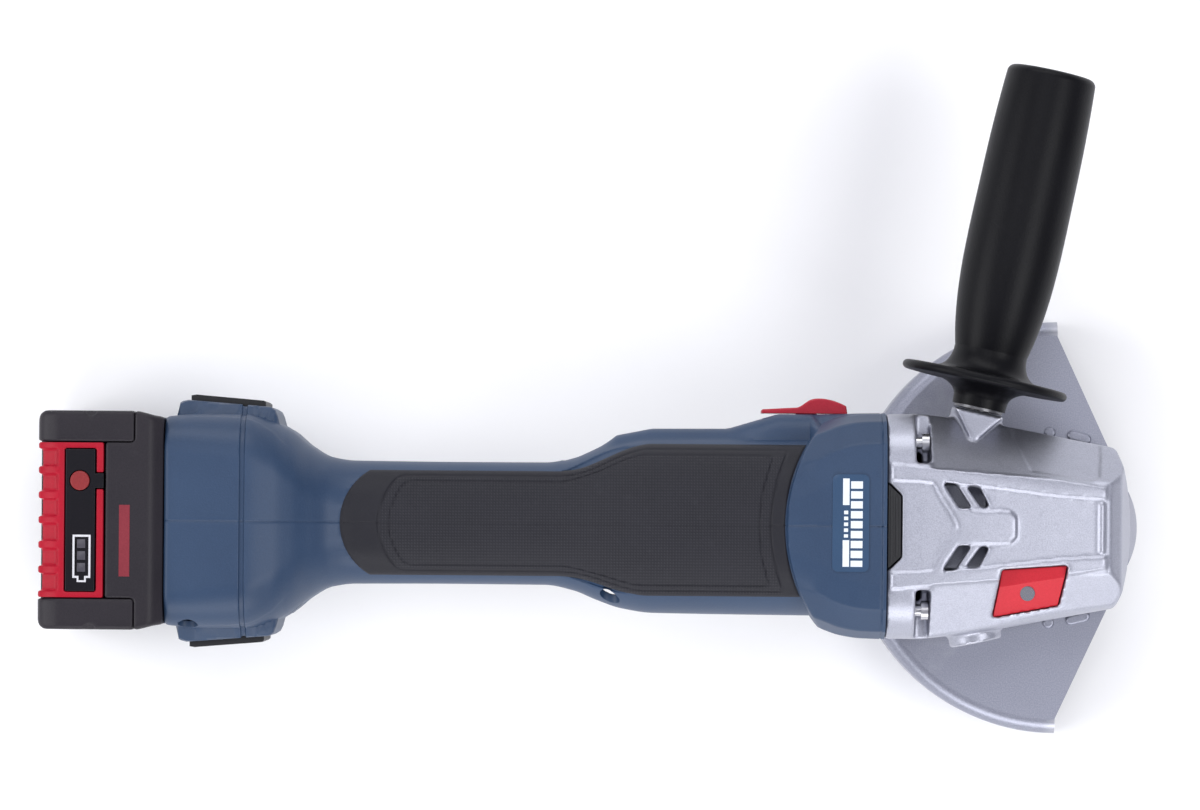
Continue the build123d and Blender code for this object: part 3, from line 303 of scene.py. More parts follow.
dress(lamination, "stator_core", "rotor_core")
dress(enamel, "stator_windings")
dress(metal("sintered_magnet", (0.42, 0.42, 0.44), (0.28, 0.28, 0.30), 0.30), "rotor_magnets")
dress(ground_steel, "motor_shaft", "spindle")
dress(bearing_steel, "front_bearing_inner", "front_bearing_outer", "rear_bearing_inner", "rear_bearing_outer",
      "spindle_bearing_inner", "spindle_bearing_outer", "needle_bearing", "spindle_circlip")
dress(gear_steel, "bevel_gear", "bevel_pinion")
dress(fan_nylon, "cooling_fan")

# ---------------------------------------------------------------- wiring and boards
# A potted controller sits in the foot, a switch module in the grip, and a sensor ring behind the rotor.
# Silicone leads join them, and four tinned blades meet the battery.
board_green = moulded("board_green", (0.02, 0.14, 0.05), (0.01, 0.08, 0.03), 1.2, 0.03, 0.35)
module_black = moulded("module_black", (0.03, 0.03, 0.032), (0.018, 0.018, 0.02), 0.5, 0.02, 0.5)
dress(board_green, "sensor_board", "controller_board", "battery_board")
dress(module_black, "switch_module", "controller_tray", "terminal_block", "switch_rod")
dress(moulded("silicone_red", (0.42, 0.02, 0.02), (0.30, 0.01, 0.01), 0.8, 0.01, 0.5), "motor_wires")
dress(metal("tinned_copper", (0.72, 0.68, 0.60), (0.55, 0.50, 0.42), 0.25), "terminal_blades")
dress(moulded("bearing_rubber", (0.022, 0.022, 0.022), (0.014, 0.014, 0.014), 0.5, 0.02, 0.7),
      "rear_bearing_sleeve", "spindle_seal")

# ---------------------------------------------------------------- motor housing
# Two moulded nylon half shells, split along the tool's middle plane. They swell from a slim grip to a foot
# for the battery and a barrel for the motor, and a collar clamps the gear head. The wall is 2.6 mm.
BODY = np.array([
    (-307.0, 35.6, 3.0, 103.0, 12.0), (-296.0, 36.5, 1.6, 103.6, 14.0), (-281.0, 36.6, 2.0, 103.4, 16.0),
    (-271.0, 34.4, 7.0, 101.0, 18.0), (-264.5, 30.8, 14.0, 97.6, 19.0), (-258.5, 26.0, 22.5, 93.2, 18.5),
    (-251.5, 22.3, 31.0, 88.8, 17.0), (-243.0, 21.1, 37.0, 86.6, 17.0), (-210.0, 20.9, 38.5, 86.0, 17.0),
    (-178.0, 21.0, 38.0, 86.6, 17.5), (-168.5, 22.8, 36.4, 87.8, 18.5), (-160.5, 26.0, 33.8, 90.0, 20.5),
    (-152.0, 28.8, 31.6, 92.2, 22.5), (-141.0, 30.3, 30.0, 93.8, 24.0), (-84.0, 30.8, 29.2, 95.0, 25.5)])
COLLAR = np.array([
    (-98.0, 31.6, 28.2, 96.0, 24.5), (-91.0, 32.9, 27.2, 97.0, 23.0), (-84.5, 35.0, 26.2, 98.0, 21.5),
    (-78.0, 37.2, 25.4, 98.8, 20.0), (-71.0, 38.2, 25.0, 99.4, 19.0), (-62.3, 38.5, 25.0, 99.4, 18.5)])
COLLAR_ARC = (-39.4, 56.6)  # middle and radius of the collar's rear edge, seen from above
RIDGE = np.array([(-172, 12), (-166, 21), (-154, 30.6), (-142, 33.0), (-116, 33.2), (-99, 38.4), (-62, 38.4)])
SCOOP = np.array([
    (-303.6, 30), (-303, 40.2), (-302.4, 40.8), (-300, 41.4),
    (-272, 39.2), (-270.4, 38.2), (-269.6, 36.6), (-268.2, 26)])
GRIP_EDGE = {1: np.array([(-250, 18.2), (-178, 18.2), (-150, 27.6), (-80, 27.6)]),
             -1: np.array([(-250, 18.2), (-178, 18.2), (-150, 24.6), (-80, 24.6)])}
UNDER_EDGE = np.array([(-250, 14.5), (-178, 14.5), (-150, 16.5), (-80, 16.5)])
HOUSING_SCREWS = [(-299, 95), (-299, 11), (-264, 74), (-264, 34), (-222, 45), (-156, 44), (-156, 80)]
MOTOR_Z = 62.0


def flowing(stations, values, x):
    """A smooth line through the stations that never swings past them."""
    step = np.diff(stations)
    slope = np.diff(values) / step
    both = slope[:-1] * slope[1:]
    total = np.where(slope[:-1] + slope[1:] == 0, 1.0, slope[:-1] + slope[1:])
    lean = np.concatenate([[slope[0]], np.where(both > 0, 2 * both / total, 0.0), [slope[-1]]])
    x = np.clip(x, stations[0], stations[-1])
    i = np.clip(np.searchsorted(stations, x) - 1, 0, len(step) - 1)
    t = (x - stations[i]) / step[i]
    return ((1 + 2 * t) * (1 - t) ** 2 * values[i] + t * (1 - t) ** 2 * step[i] * lean[i]
            + t * t * (3 - 2 * t) * values[i + 1] - t * t * (1 - t) * step[i] * lean[i + 1])


def ramp(t):
    t = np.clip(t, 0.0, 1.0)
    return t * t * (3 - 2 * t)


def larger(a, b, blend):
    """The larger of two surfaces, with a fillet where they meet."""
    return 0.5 * (a + b + np.sqrt((a - b) ** 2 + blend * blend)) - 0.25 * blend


def half_ring(table, x, place, facets=0.0):
    """Y and Z round half a rounded rectangle. place runs 0 to 5: top, shoulder, side, lower shoulder and
    underside. facets turns the top shoulder from a round into a flat with two creases."""
    half, low, high, corner = (flowing(table[:, 0], table[:, k], x) for k in (1, 2, 3, 4))
    leg, f = np.minimum(np.floor(place), 4), place - np.minimum(np.floor(place), 4)
    flat, turn = half - corner, f * pi / 2
    out = np.sin(turn) * (1 - facets) + np.interp(f, (0, 0.38, 0.68, 1), (0, 0.46, 0.86, 1)) * facets
    down = (1 - np.cos(turn)) * (1 - facets) + np.interp(f, (0, 0.38, 0.68, 1), (0, 0.05, 0.42, 1)) * facets
    legs = [leg == 0, leg == 1, leg == 2, leg == 3]
    y = np.select(legs, [f * flat, flat + corner * out, half, flat + corner * np.cos(turn)], (1 - f) * flat)
    z = np.select(legs, [
        high, high - corner * down, high - corner - f * (high - low - 2 * corner),
        low + corner - corner * np.sin(turn)], low)
    return y, z


def flank(stations, x, z, middle, flat, fillet):
    """How far out a side feature stands: its outline in plan, rounded off above and below."""
    over = np.clip(np.abs(z - middle) - flat, 0, None)
    rounded = fillet - np.sqrt(np.clip(fillet ** 2 - np.minimum(over, fillet) ** 2, 0, None))
    drop = np.where(over < fillet, rounded, fillet + (over - fillet) * 6)
    return np.interp(x, stations[:, 0], stations[:, 1]) - drop


def housing_points(side):
    """The outer skin of one half, as a grid of points."""
    places = np.concatenate([
        [0.0, 0.015, 0.03], np.linspace(0.06, 1, 16)[:-1], np.linspace(1, 2, 44)[:-1],
        np.linspace(2, 3, 44)[:-1], np.linspace(3, 4, 34)[:-1], np.linspace(4, 4.94, 12), [4.98, 5.0]])
    fine = [np.linspace(a, b, n) for a, b, n in (
        (-307, -304.4, 9), (-303.6, -283, 24), (-282.4, -279, 24), (-278.2, -268, 14), (-267.4, -250, 24),
        (-249, -178, 60), (-177, -128, 46), (-127, -98, 24), (-97.4, -94.4, 13), (-93.6, -65, 34),
        (-64.4, -62.3, 12))]
    s = np.concatenate(fine)[:, None]
    place = places[None, :]
    shift_share = flowing(np.array([-307.0, -150, -99, -92, -62.3]), np.array([0.0, 0, 1, 1, 0]), s)
    x = s + 0 * place
    for _ in range(4):
        y, z = half_ring(BODY, x, place)
        collar_y, collar_z = half_ring(COLLAR, x, place, ramp((x + 97) / 12))
        share = ramp((x - (COLLAR_ARC[0] - np.sqrt(np.maximum(COLLAR_ARC[1] ** 2 - y ** 2, 1)))) / 0.9 + 0.5)
        y, z = y + (collar_y - y) * share, z + (collar_z - z) * share
        bulge = COLLAR_ARC[1] - np.sqrt(np.maximum(COLLAR_ARC[1] ** 2 - np.minimum(y, 45) ** 2, 1))
        x = s + shift_share * bulge
    if side > 0:
        y = np.where(x > -172, larger(y, flank(RIDGE, x, z, MOTOR_Z, 8.0, 7.0), 1.2), y)
    y = np.where((x < -266) & (z > 16) & (z < 94), larger(y, flank(SCOOP, x, z, 55.0, 28.5, 2.5), 0.8), y)

    # The rubber's bed, cut back all round under its rim.
    edge = flowing(GRIP_EDGE[side][:, 0], GRIP_EDGE[side][:, 1], x)
    under = flowing(UNDER_EDGE[:, 0], UNDER_EDGE[:, 1], x)
    right_in = COLLAR_ARC[0] - np.sqrt(np.maximum(COLLAR_ARC[1] ** 2 - y ** 2, 1)) - x
    for left, sag, width, up in ((-248.4, 10.6, edge, True), (-244.0, 9.0, under, False)):
        bow = (sag ** 2 + width ** 2) / (2 * sag)
        left_in = x - left - bow + np.sqrt(np.maximum(bow ** 2 - np.minimum(y, width) ** 2, 0))
        bed = ramp((width - y - 1.0) / 0.9) * ramp((left_in - 1.0) / 0.9) * ramp((right_in - 1.4) / 0.9)
        bed = bed * ((z > 62) == up)
        z = z - bed * (1.25 if up else -1.25)

    # The groove round the foot, the collar's bead, the parting line, and the softened rear edge.
    middle = 0.5 * (z.max(axis=1, keepdims=True) + z.min(axis=1, keepdims=True))
    reach = np.maximum(np.hypot(y, z - middle), 1)
    cut = 0.75 * ramp((x + 281.75) / 0.4) * ramp((-279.65 - x) / 0.4)
    cut = cut + 0.30 * np.exp(-((x + 63.7) / 0.22) ** 2)
    cut = cut + 1.2 * (1 - np.sqrt(1 - np.clip((-305.2 - x) / 1.8, 0, 1) ** 2))
    cut = cut + 0.28 * np.exp(-(y / 0.3) ** 2)
    return x, y * (1 - cut / reach), middle + (z - middle) * (1 - cut / reach)


def capped(x, y, z):
    """Adds the flat rear wall, closing on the middle plane."""
    middle = 0.5 * (z[0].max() + z[0].min())
    rings = [(x[:1], y[:1] * k, middle + (z[:1] - middle) * k) for k in (0.02, 0.3, 0.6, 0.85, 0.97)]
    return [np.concatenate([r[i] for r in rings] + [(x, y, z)[i]]) for i in range(3)]


def made_solid(piece, thickness):
    """Gives a skin its wall thickness, inwards, and closes its rim."""
    wall = piece.modifiers.new("wall", "SOLIDIFY")
    wall.thickness, wall.offset = thickness * MM, -1.0
    baked(piece)


def baked(piece, crease=35.0):
    """Applies a piece's modifiers to its mesh."""
    graph = bpy.context.evaluated_depsgraph_get()
    mesh = bpy.data.meshes.new_from_object(piece.evaluated_get(graph), depsgraph=graph)
    piece.modifiers.clear()
    piece.data = mesh
    settle(piece, crease)


def skin_piece(name, x, y, z, side, finish, thickness, underside=False):
    """A skin given as a grid of points, with its wall thickness. An underside faces down."""
    columns, rows = x.shape
    points = np.stack([x, side * y, z], axis=-1).reshape(-1, 3)
    faces = grid_faces(columns, rows)
    if (side < 0) != underside:
        faces = [f[::-1] for f in faces]
    piece = new_piece(name, points, faces, finish)
    made_solid(piece, thickness)
    return piece


def walled_piece(name, x, y, z, side, finish, wall):
    """A skin with its inner wall, drawn in towards the middle, and its rims closed."""
    columns, rows = x.shape
    middle = 0.5 * (z.max(axis=1, keepdims=True) + z.min(axis=1, keepdims=True))
    reach = np.maximum(np.hypot(y, z - middle), 1)
    share = 1 - np.minimum(wall / reach, 0.5)
    inside = (np.maximum(x, x.min() + wall), y * share, middle + (z - middle) * share)
    skins = [np.stack([a, side * b, c], axis=-1).reshape(-1, 3) for a, b, c in ((x, y, z), inside)]
    points = np.concatenate(skins)
    faces = grid_faces(columns, rows)
    count = columns * rows
    faces += [tuple(i + count for i in f[::-1]) for f in faces]
    rim = [i * rows for i in range(columns)] + [(columns - 1) * rows + j for j in range(1, rows)]
    rim += [i * rows + rows - 1 for i in range(columns - 2, -1, -1)] + list(range(rows - 2, 0, -1))
    faces += [(b, a, a + count, b + count) for a, b in zip(rim, rim[1:] + rim[:1])]
    piece = new_piece(name, points, faces if side > 0 else [f[::-1] for f in faces], finish)
    weld = piece.modifiers.new("weld", "WELD")
    weld.merge_threshold = 0.00001
    return piece


def box_points(x0, x1, y0, y1, z0, z1):
    return [(x, y, z) for x in (x0, x1) for y in (y0, y1) for z in (z0, z1)]


BOX_FACES = [(0, 1, 3, 2), (4, 6, 7, 5), (0, 4, 5, 1), (2, 3, 7, 6), (0, 2, 6, 4), (1, 5, 7, 3)]


def bars(name, boxes, finish, round_mm, steps=2, crease=35.0):
    """Square-cut bars with rounded edges, given by their corners."""
    points = [p for b in boxes for p in box_points(*b)]
    faces = [tuple(8 * i + k for k in f) for i in range(len(boxes)) for f in BOX_FACES]
    piece = new_piece(name, points, faces, finish)
    mesh = bmesh.new()
    mesh.from_mesh(piece.data)
    bmesh.ops.recalc_face_normals(mesh, faces=mesh.faces)
    bmesh.ops.bevel(
        mesh, geom=mesh.edges[:], offset=round_mm * MM, segments=steps, profile=0.5, affect="EDGES")
    mesh.to_mesh(piece.data)
    mesh.free()
    settle(piece, crease)
    return piece


def turned(name, profile, finish, steps=48, crease=30.0, frame_to=None):
    """A lathe-turned piece: profile in radius and height, spun about Z and then placed."""
    points, faces, rings = [], [], len(profile)
    for i in range(steps):
        c, s = cos(2 * pi * i / steps), sin(2 * pi * i / steps)
        points += [(r * c, r * s, h) for r, h in profile]
        j = (i + 1) % steps
        here, there = i * rings, j * rings
        faces += [(here + k, there + k, there + k + 1, here + k + 1) for k in range(rings - 1)]
    piece = new_piece(name, points, faces, finish)
    mesh = bmesh.new()
    mesh.from_mesh(piece.data)
    bmesh.ops.remove_doubles(mesh, verts=mesh.verts[:], dist=1e-7)
    bmesh.ops.recalc_face_normals(mesh, faces=mesh.faces)
    if frame_to is not None:
        bmesh.ops.transform(mesh, matrix=frame_to, verts=mesh.verts[:])
    mesh.to_mesh(piece.data)
    mesh.free()
    settle(piece, crease)
    return piece


def joined(name, parts):
    """One piece out of several."""
    mesh = bmesh.new()
    for part in parts:
        mesh.from_mesh(part.data)
    base = parts[0]
    finish = base.data.materials[0]
    data = bpy.data.meshes.new(name)
    mesh.to_mesh(data)
    mesh.free()
    data.materials.append(finish)
    for part in parts:
        bpy.data.objects.remove(part)
    piece = bpy.data.objects.new(name, data)
    bpy.context.scene.collection.objects.link(piece)
    settle(piece, 30.0)
    return piece


def skin_reach(x, z):
    """How far out the body's side stands at a height."""
    half, low, high, corner = (float(flowing(BODY[:, 0], BODY[:, k], np.array([x]))[0]) for k in (1, 2, 3, 4))
    over = max(z - (high - corner), (low + corner) - z, 0.0)
    return half - corner + max(corner ** 2 - over ** 2, 0.0) ** 0.5


def rod(name, radius, start, end, x, z, steps=40, axis="Y"):
    """A plain rod along Y at x and z, or along Z at x and y."""
    turn = Matrix.Rotation(-pi / 2, 4, "X") if axis == "Y" else Matrix.Identity(4)
    place = Matrix.Translation((x * MM, start * MM, z * MM) if axis == "Y" else (x * MM, z * MM, start * MM))
    profile = [(0, 0), (radius, 0), (radius, end - start), (0, end - start)]
    return turned(name, profile, blue_nylon, steps, frame_to=place @ turn)


def opened(piece, cutters):
    """Cuts the cutters' shapes out of a closed piece."""
    cutter = joined("cutter", cutters)
    cut = piece.modifiers.new("cut", "BOOLEAN")
    cut.object, cut.solver = cutter, "EXACT"
    baked(piece)
    bpy.data.objects.remove(cutter)


def screw_well(x, z):
    """The tube that leads down to a housing screw's head, moulded inside the right shell."""
    top = min(skin_reach(x + a, z + b) for a in (-4.6, 0, 4.6) for b in (-4.6, 0, 4.6)) - 1.2
    bottom = 26.0 if x < -290 else 15.0
    profile = [(3.4, -bottom), (4.6, -bottom), (4.6, -top), (3.4, -top), (3.4, -bottom)]
    return turned("well", [(r, h) for r, h in profile], blue_nylon, 40,
                  frame_to=Matrix.Translation((x * MM, 0, z * MM)) @ Matrix.Rotation(-pi / 2, 4, "X"))


blue_nylon = moulded(
    "blue_nylon", (0.021, 0.047, 0.100), (0.016, 0.038, 0.084), 0.55, 0.035, 0.46, 0.40, 0.12)
for side, word in ((1, "left"), (-1, "right")):
    shell = walled_piece("housing_shell_" + word, *capped(*housing_points(side)), side, blue_nylon, 2.6)
    low, high = sorted((side * 34.5, side * 60))
    cutters = [bars("window", [(-299.5, -273.5, low, high, 30, 80)], blue_nylon, 0.1, 1)]
    low, high = sorted((side * -1, side * 16.2))
    cutters.append(bars("connector_window", [(-312, -303, low, high, 5.8, 34.2)], blue_nylon, 0.1, 1))
    if side > 0:
        cutters.append(bars("switch_slot", [(-93.5, -78, 26, 45, 58.8, 65.2)], blue_nylon, 0.1, 1))
    else:
        cutters += [rod("screw_hole", 3.4, -60, -14, x, z) for x, z in HOUSING_SCREWS]
        opened(shell, [rod("finger_notch", 3.6, 96, 115, -300.5, -37.6, axis="Z")])
        wells = joined("screw_wells", [screw_well(x, z) for x, z in HOUSING_SCREWS])
        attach(wells, "tool")
    opened(shell, cutters)
    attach(shell, "tool")
    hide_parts("housing_" + word)

rails = bars("battery_rails", [
    (-318.3, -306.8, 26.0, 35.0, 6, 86), (-323.2, -318.0, 22.2, 35.0, 6, 86),
    (-318.3, -306.8, -35.0, -26.0, 6, 86), (-323.2, -318.0, -35.0, -22.2, 6, 86)], blue_nylon, 0.5)
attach(rails, "tool")
zinc = metal("black_zinc", (0.16, 0.16, 0.17), (0.08, 0.08, 0.08), 0.36, 0.4, 0.01)
dress(zinc, "housing_screws", "flange_screws", "battery_screws")

# ---------------------------------------------------------------- soft grip
# Black rubber moulded over the grip and the motor barrel, top and underneath, a little proud of the nylon.
# A double groove frames the knurled field that the palm rests on.
def rubber_finish():
    finish = Finish("knurled_rubber")
    x, y = finish.axis("X"), finish.axis("Y")
    turn = pi / (1.0 * MM)
    knurl = ((x + y) * turn).wave() * ((x - y) * turn).wave()
    edge = 18.2 * MM + finish.soften(x, -0.178, -0.150) * (8.0 * MM)
    arc = ((x + 0.0394) * (x + 0.0394) + y * y) ** 0.5
    inside = finish.soften(edge - 2.6 * MM - abs(y), 0.0, 0.0005)
    inside = inside * finish.soften(x - y * y * 25.0, -0.2347, -0.2342)
    inside = inside * finish.soften(arc, 0.0566 + 0.0056, 0.0566 + 0.0061)
    grain = finish.pebbles(0.45)
    clouds = finish.cloud(18.0, 4.0)
    height = inside * knurl * 0.5 + (1 - inside) * grain * 0.3
    dust_and_crest_highlight = finish.soften(finish.cloud(7.0, 6.0, 0.7), 0.58, 0.78) * 0.25
    # The knurl's crests are painted lighter here: a painted highlight on each crest, added on top of the real
    # dust clouds.
    dust_and_crest_highlight = dust_and_crest_highlight + inside * finish.soften(knurl, 0.1, 0.9) * 0.55
    rubber = finish.blend(clouds, (0.012, 0.012, 0.016), (0.018, 0.018, 0.024))
    return finish.wear(
        Base_Color=finish.blend(dust_and_crest_highlight, rubber, (0.042, 0.042, 0.050)),
        Roughness=0.50 + clouds * 0.10 + dust_and_crest_highlight * 0.2,
        Normal=finish.relief(height, 0.16),
        Specular_IOR_Level=0.22)


def body_top(x, y, up=True):
    half, low, high, corner = (flowing(BODY[:, 0], BODY[:, k], x) for k in (1, 2, 3, 4))
    over = np.clip(np.abs(y) - (half - corner), 0, corner)
    rise = corner - np.sqrt(corner ** 2 - over ** 2)
    return high - rise if up else low + rise


def rubber_patch(name, side, edge_table, left, sag, half_left, up, frames):
    """A patch of rubber that follows the body's top or underside out to its own outline."""
    s = np.concatenate([
        np.linspace(0, 0.02, 9)[:-1], np.linspace(0.02, 0.15, 60)[:-1], np.linspace(0.15, 0.88, 150)[:-1],
        np.linspace(0.88, 0.98, 50), np.linspace(0.98, 1, 9)[1:]])[:, None]
    v = np.concatenate([
        [0, 0.01, 0.02], np.linspace(0.04, 0.70, 36), np.linspace(0.70, 0.97, 36)[1:],
        np.linspace(0.97, 1, 7)[1:]])[None, :]
    right_middle = COLLAR_ARC[0] - COLLAR_ARC[1]
    edge = flowing(edge_table[:, 0], edge_table[:, 1], left + s * (right_middle - left))
    y = v * edge
    bow = (sag ** 2 + half_left ** 2) / (2 * sag)
    x_left = left + bow - np.sqrt(np.maximum(bow ** 2 - np.minimum(y, half_left) ** 2, 0))
    x_right = COLLAR_ARC[0] - np.sqrt(COLLAR_ARC[1] ** 2 - y ** 2) - 0.35
    x = x_left + s * (x_right - x_left)
    to_side, to_left, to_right = edge - y, x - x_left, x_right - x
    rim = np.minimum(np.minimum(to_side, to_left), to_right)
    height = 0.45 - 1.3 * (1 - np.sqrt(1 - np.clip(1 - rim / 1.3, 0, 1) ** 2))
    for side_in, left_at, right_in in frames:
        a, b, c = to_side - side_in, (x - left_at - 0.027 * y * y) * 0.8, to_right - right_in
        near = -np.log(np.exp(-a / 0.8) + np.exp(-b / 0.8) + np.exp(-c / 0.8)) * 0.8
        height = height - 0.42 * np.exp(-(near / 0.36) ** 2)
    height = height - 0.22 * np.exp(-(y / 0.3) ** 2)
    z = body_top(x, y, up) + (height if up else -height)
    return skin_piece(name, x, y, z, side, knurled_rubber, 1.1, underside=not up)


knurled_rubber = rubber_finish()
for side, word in ((1, "left"), (-1, "right")):
    palm = rubber_patch("grip_top_" + word, side, GRIP_EDGE[side], -248.4, 10.6, 18.2, True,
                        [(2.1, -235.2, 5.2), (4.0, -231.2, 9.0)])
    fingers = rubber_patch("grip_under_" + word, side, UNDER_EDGE, -244.0, 9.0, 14.5, False,
                           [(3.0, -234.0, 6.0)])
    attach(palm, "tool")
    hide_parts("grip_" + word)
    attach(fingers, "tool")

# ---------------------------------------------------------------- air grilles and rating label
# Snap-in nylon grilles cover the air inlets on both sides of the foot. A printed film label is stuck on
# the collar, with plain bars for its lines.
grille_nylon = moulded("grille_nylon", (0.016, 0.017, 0.019), (0.010, 0.010, 0.012), 0.5, 0.03, 0.5)
dress(grille_nylon, "vent_grille_left", "vent_grille_right", "air_baffle")
tab_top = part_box("air_baffle")[1].z / MM
rib_shapes = [(-61.2, -60.4, -12.6, 12.6), (-59.4, -58.6, -10.4, 10.4)]
ribs = bars("baffle_ribs", [(*rib, tab_top - 0.8, tab_top + 0.3) for rib in rib_shapes], grille_nylon, 0.15)
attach(ribs, "tool")


def label_finish():
    finish = Finish("printed_label")
    x, y = finish.axis("X") * 1000.0 + 74.6, finish.axis("Y") * 1000.0 - 1.0

    def bar(middle_x, middle_y, half_x, half_y):
        return (abs(x - middle_x) < half_x) * (abs(y - middle_y) < half_y)

    rows = finish.node("ShaderNodeMath", {"operation": "FRACT"}, {0: (y + 15.2) / 3.36})
    dashes = finish.node("ShaderNodeMath", {"operation": "FRACT"}, {0: (y + 5.0) / 2.0})
    print_mask = (bar(2.0, 0.0, 2.0, 14.8) * (rows < 0.74)).most(bar(-1.6, 10.6, 1.1, 4.5))
    print_mask = print_mask.most(bar(-1.6, -10.3, 1.1, 4.5))
    print_mask = print_mask.most(bar(-1.6, 0.0, 0.7, 4.9) * (dashes < 0.6))
    ageing = finish.cloud(6.0, 4.0)
    film = finish.blend(ageing, (0.011, 0.042, 0.100), (0.014, 0.052, 0.120))
    return finish.wear(
        Base_Color=finish.blend(print_mask, film, (0.66, 0.71, 0.75)),
        Roughness=0.36 + ageing * 0.12,
        Normal=finish.relief(print_mask + ageing * 0.2, 0.02),
        Coat_Weight=0.15)


dress(label_finish(), "info_label")

# ---------------------------------------------------------------- slide switch
# A red acetal slider runs along the ridge on the left side, with four grip bars across its hump.
# It is clipped on to the switch rod through a slot.
switch_red = moulded("switch_red", (0.38, 0.012, 0.030), (0.30, 0.008, 0.022), 0.5, 0.03, 0.36, 0.3, 0.12)
dress(switch_red, "switch_slider")

# ---------------------------------------------------------------- gear head
# A pressure die casting in aluminium alloy, tumbled and clear lacquered, on a turned bearing flange.
# Four screws clamp it to the collar, with a black air baffle between.
def cast_finish():
    finish = Finish("cast_alloy")
    sparkle = finish.cloud(0.42, 2.0, 0.6)
    lumps = finish.cloud(3.2, 4.0, 0.6)
    flow = finish.cloud(26.0, 4.0, 0.6)
    worn = finish.worn_edge()
    grain = finish.soften(sparkle * 0.85 + lumps * 0.15, 0.30, 0.70)
    tone = finish.blend(grain, (0.34, 0.35, 0.41), (0.46, 0.47, 0.54))
    washed = finish.blend(flow * 0.25, tone, (0.33, 0.34, 0.37))
    return finish.wear(
        Base_Color=finish.blend(worn * 0.5, washed, (0.74, 0.74, 0.76)),
        Metallic=0.80, Roughness=0.42 + (sparkle - 0.5) * 0.20 - worn * 0.10,
        Normal=finish.relief(sparkle * 0.8 + lumps * 0.5, 0.06))


def cast_from(name, node, voxel_mm, rounds, finish, bend=None):
    """A copy of a frame part with the soft edges of casting or moulding. bend may shift its points first."""
    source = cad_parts[node]
    piece = bpy.data.objects.new(name, source.data.copy())
    bpy.context.scene.collection.objects.link(piece)
    piece.data.materials.clear()
    piece.data.materials.append(finish)
    remesh = piece.modifiers.new("voxel", "REMESH")
    remesh.mode, remesh.voxel_size, remesh.adaptivity = "VOXEL", voxel_mm * MM, 0.0
    if bend:
        baked(piece, 60.0)
        points = np.zeros(len(piece.data.vertices) * 3)
        piece.data.vertices.foreach_get("co", points)
        points = bend(points.reshape(-1, 3) / MM) * MM
        piece.data.vertices.foreach_set("co", points.reshape(-1))
    soften = piece.modifiers.new("soften", "SMOOTH")
    soften.factor, soften.iterations = 0.5, rounds
    baked(piece, 60.0)
    return piece


cast_alloy = cast_finish()
head = cast_from("gear_head_casting", "gear_housing", 0.62, 5, cast_alloy)
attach(head, "tool")
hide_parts("gear_housing")
dress(metal("turned_alloy", (0.66, 0.66, 0.67), (0.48, 0.48, 0.49), 0.30, 0.5, 0.01, (0.25, 0.25, 1.0)),
      "bearing_flange", "backing_flange")
dress(metal("bright_zinc", (0.58, 0.58, 0.60), (0.36, 0.36, 0.37), 0.28), "gearbox_screws")

# ---------------------------------------------------------------- spindle lock
# A red button riveted to a steel pin and held up by a coil spring. Pressed, the pin drops into a hole
# in the gear.
dress(moulded("button_red", (0.56, 0.020, 0.034), (0.47, 0.014, 0.024), 0.55, 0.03, 0.33, 0.3, 0.10),
      "lock_button")
dress(bearing_steel, "lock_pin", "lock_spring")

# ---------------------------------------------------------------- wheel guard
# Pressed 2 mm steel sheet with a bright plated finish: a half-round pan with rolled rim, welded to a clamp
# band. A short lever on a pin tightens the band on the head's neck.
def guard_finish():
    finish = Finish("plated_sheet")
    spangle = finish.cloud(0.45, 3.0, 0.7)
    sweep = finish.cloud(30.0, 4.0, 0.6)
    worn = finish.worn_edge()
    strokes = finish.cloud(9.0, 8.0, 0.75, finish.stretched(0.25, 3.0, 1.0))
    scratches = finish.soften(strokes, 0.63, 0.70) * 0.35
    tone = finish.blend(finish.soften(spangle, 0.3, 0.7), (0.27, 0.28, 0.34), (0.37, 0.38, 0.45))
    return finish.wear(
        Base_Color=finish.blend(
            scratches + worn * 0.4, finish.blend(sweep * 0.3, tone, (0.29, 0.30, 0.35)), (0.60, 0.60, 0.63)),
        Metallic=0.85,
        Roughness=0.40 + (spangle - 0.5) * 0.16 - scratches * 0.1,
        Normal=finish.relief(spangle, 0.03))


dress(guard_finish(), "guard_shell", "guard_band", "guard_lever")
dress(zinc, "lever_pin")

# ---------------------------------------------------------------- clamping nut
# Turned steel with four pin-spanner holes, black oxide finished.
dress(metal("black_oxide", (0.13, 0.13, 0.135), (0.07, 0.07, 0.07), 0.34, 0.5, 0.01, (0.3, 0.3, 1.0)),
      "clamp_nut")

# ---------------------------------------------------------------- side handle
# Glass-filled nylon moulded round a steel stud, with a wide flange that keeps the hand off the wheel.
handle_nylon = moulded(
    "handle_nylon", (0.0045, 0.0045, 0.006), (0.003, 0.003, 0.004), 0.6, 0.04, 0.40, 0.13, 0.10)
dress(handle_nylon, "handle_grip")
dress(zinc, "handle_stud")

# ---------------------------------------------------------------- battery
# A slim slide-on pack: five cells in a two-part case held by screws, with a charge panel and a red
# release button. The case slides up off the housing's rails.
case_black = moulded("case_black", (0.020, 0.017, 0.022), (0.014, 0.012, 0.016), 0.6, 0.04, 0.46, 0.24, 0.14)


def pack_form(points):
    """The case's top falls away at the button end, and towards the foot, where its sides draw in too."""
    x, y, z = points[:, 0], points[:, 1], points[:, 2]
    top = ramp((z - 99) / 4)
    z = z - top * (1.9 * ramp((-341.5 - x) / 8) + 3.2 * ramp((x + 314) / 7) ** 2)
    y = y - np.sign(y) * 1.7 * ramp((np.abs(y) - 30) / 5) * ramp((x + 317) / 9)
    return np.stack([x, y, z], axis=-1)


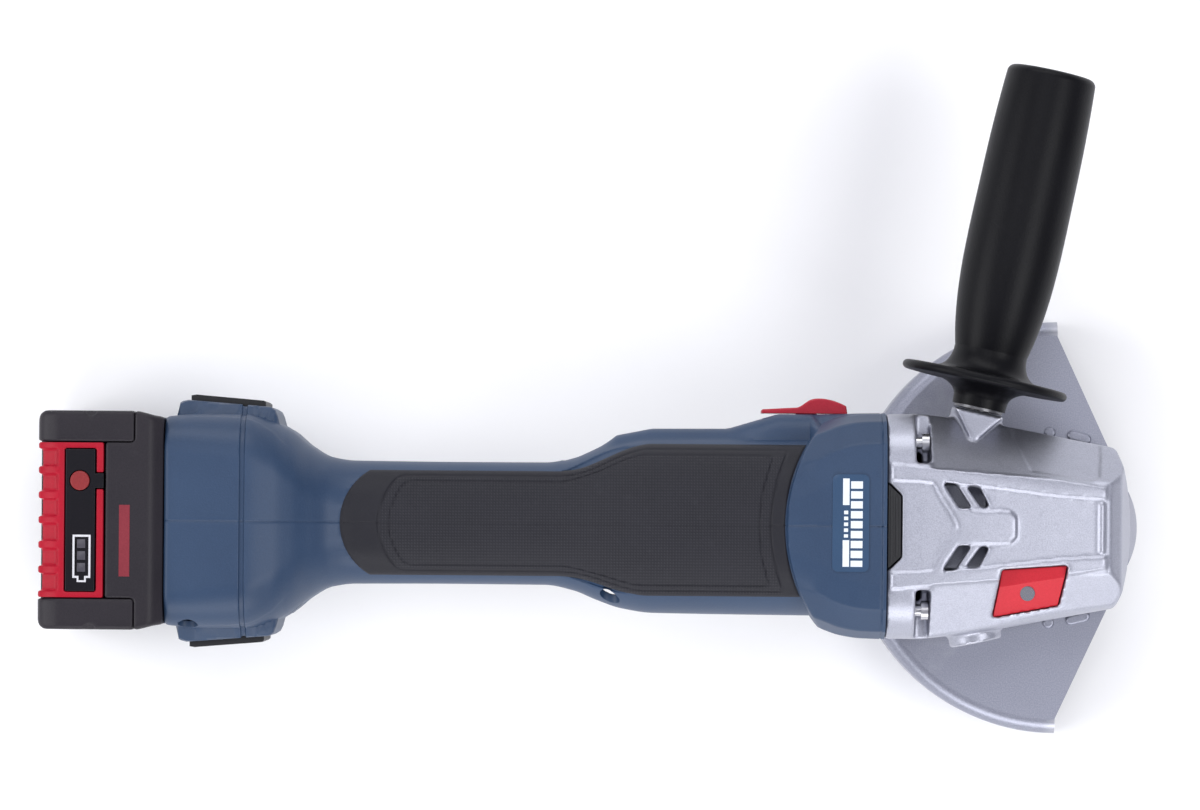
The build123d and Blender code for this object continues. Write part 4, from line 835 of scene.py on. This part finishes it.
for node, voxel_mm in (("battery_tray", 0.75), ("battery_lid", 0.7)):
    case = cast_from(node.replace("battery", "pack"), node, voxel_mm, 2, case_black, pack_form)
    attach(case, "battery")
    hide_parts(node)
dress(moulded("cell_sleeve", (0.05, 0.28, 0.20), (0.03, 0.20, 0.15), 1.0, 0.01, 0.3), "battery_cells")
release_red = moulded("release_red", (0.38, 0.008, 0.024), (0.30, 0.006, 0.018), 0.5, 0.03, 0.36, 0.16, 0.12)
latch = cast_from("release_latch", "release_button", 0.45, 2, release_red, pack_form)
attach(latch, "release")
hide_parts("release_button")
dress(moulded("charge_red", (0.24, 0.020, 0.022), (0.18, 0.014, 0.016), 0.5, 0.02, 0.4), "charge_button")
dress(moulded("panel_black", (0.006, 0.005, 0.008), (0.004, 0.004, 0.006), 0.7, 0.01, 0.30, 0.16, 0.08),
      "charge_panel")
panel_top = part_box("charge_panel")[1].z / MM
mark_white = moulded("mark_white", (0.60, 0.60, 0.63), (0.50, 0.50, 0.53), 0.6, 0.01, 0.5)
gauge = bars("gauge_outline", [(x0, x1, y0, y1, panel_top - 0.1, panel_top + 0.08) for x0, x1, y0, y1 in (
    (-337.5, -336.8, -19.6, -5.0), (-332.1, -331.4, -19.6, -5.0), (-336.8, -332.1, -5.7, -5.0),
    (-336.8, -336.0, -19.6, -18.9), (-332.9, -332.1, -19.6, -18.9), (-336.0, -335.4, -21.0, -18.9),
    (-333.5, -332.9, -21.0, -18.9), (-335.4, -333.5, -21.0, -20.4))],
    mark_white, 0.05, 1)
lamp_grey = moulded("lamp_lens", (0.070, 0.066, 0.080), (0.050, 0.048, 0.060), 0.8, 0.01, 0.25)
lamps = bars("gauge_lamps", [
    (-336.0, -333.2, y - 1.5, y + 1.5, panel_top - 0.55, panel_top + 0.05) for y in (-8.0, -12.0, -16.0)],
    lamp_grey, 0.1)
stripe_red = moulded("stripe_red", (0.20, 0.018, 0.030), (0.16, 0.012, 0.022), 0.6, 0.01, 0.5)
stripe = bars("pack_stripe", [(-321.9, -318.3, -19.0, 5.2, 105.5, 106.12)], stripe_red, 0.05, 1)
for mark, slot in ((gauge, "label_film"), (lamps, "black_plastic"), (stripe, "red_plastic")):
    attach(mark, "battery")
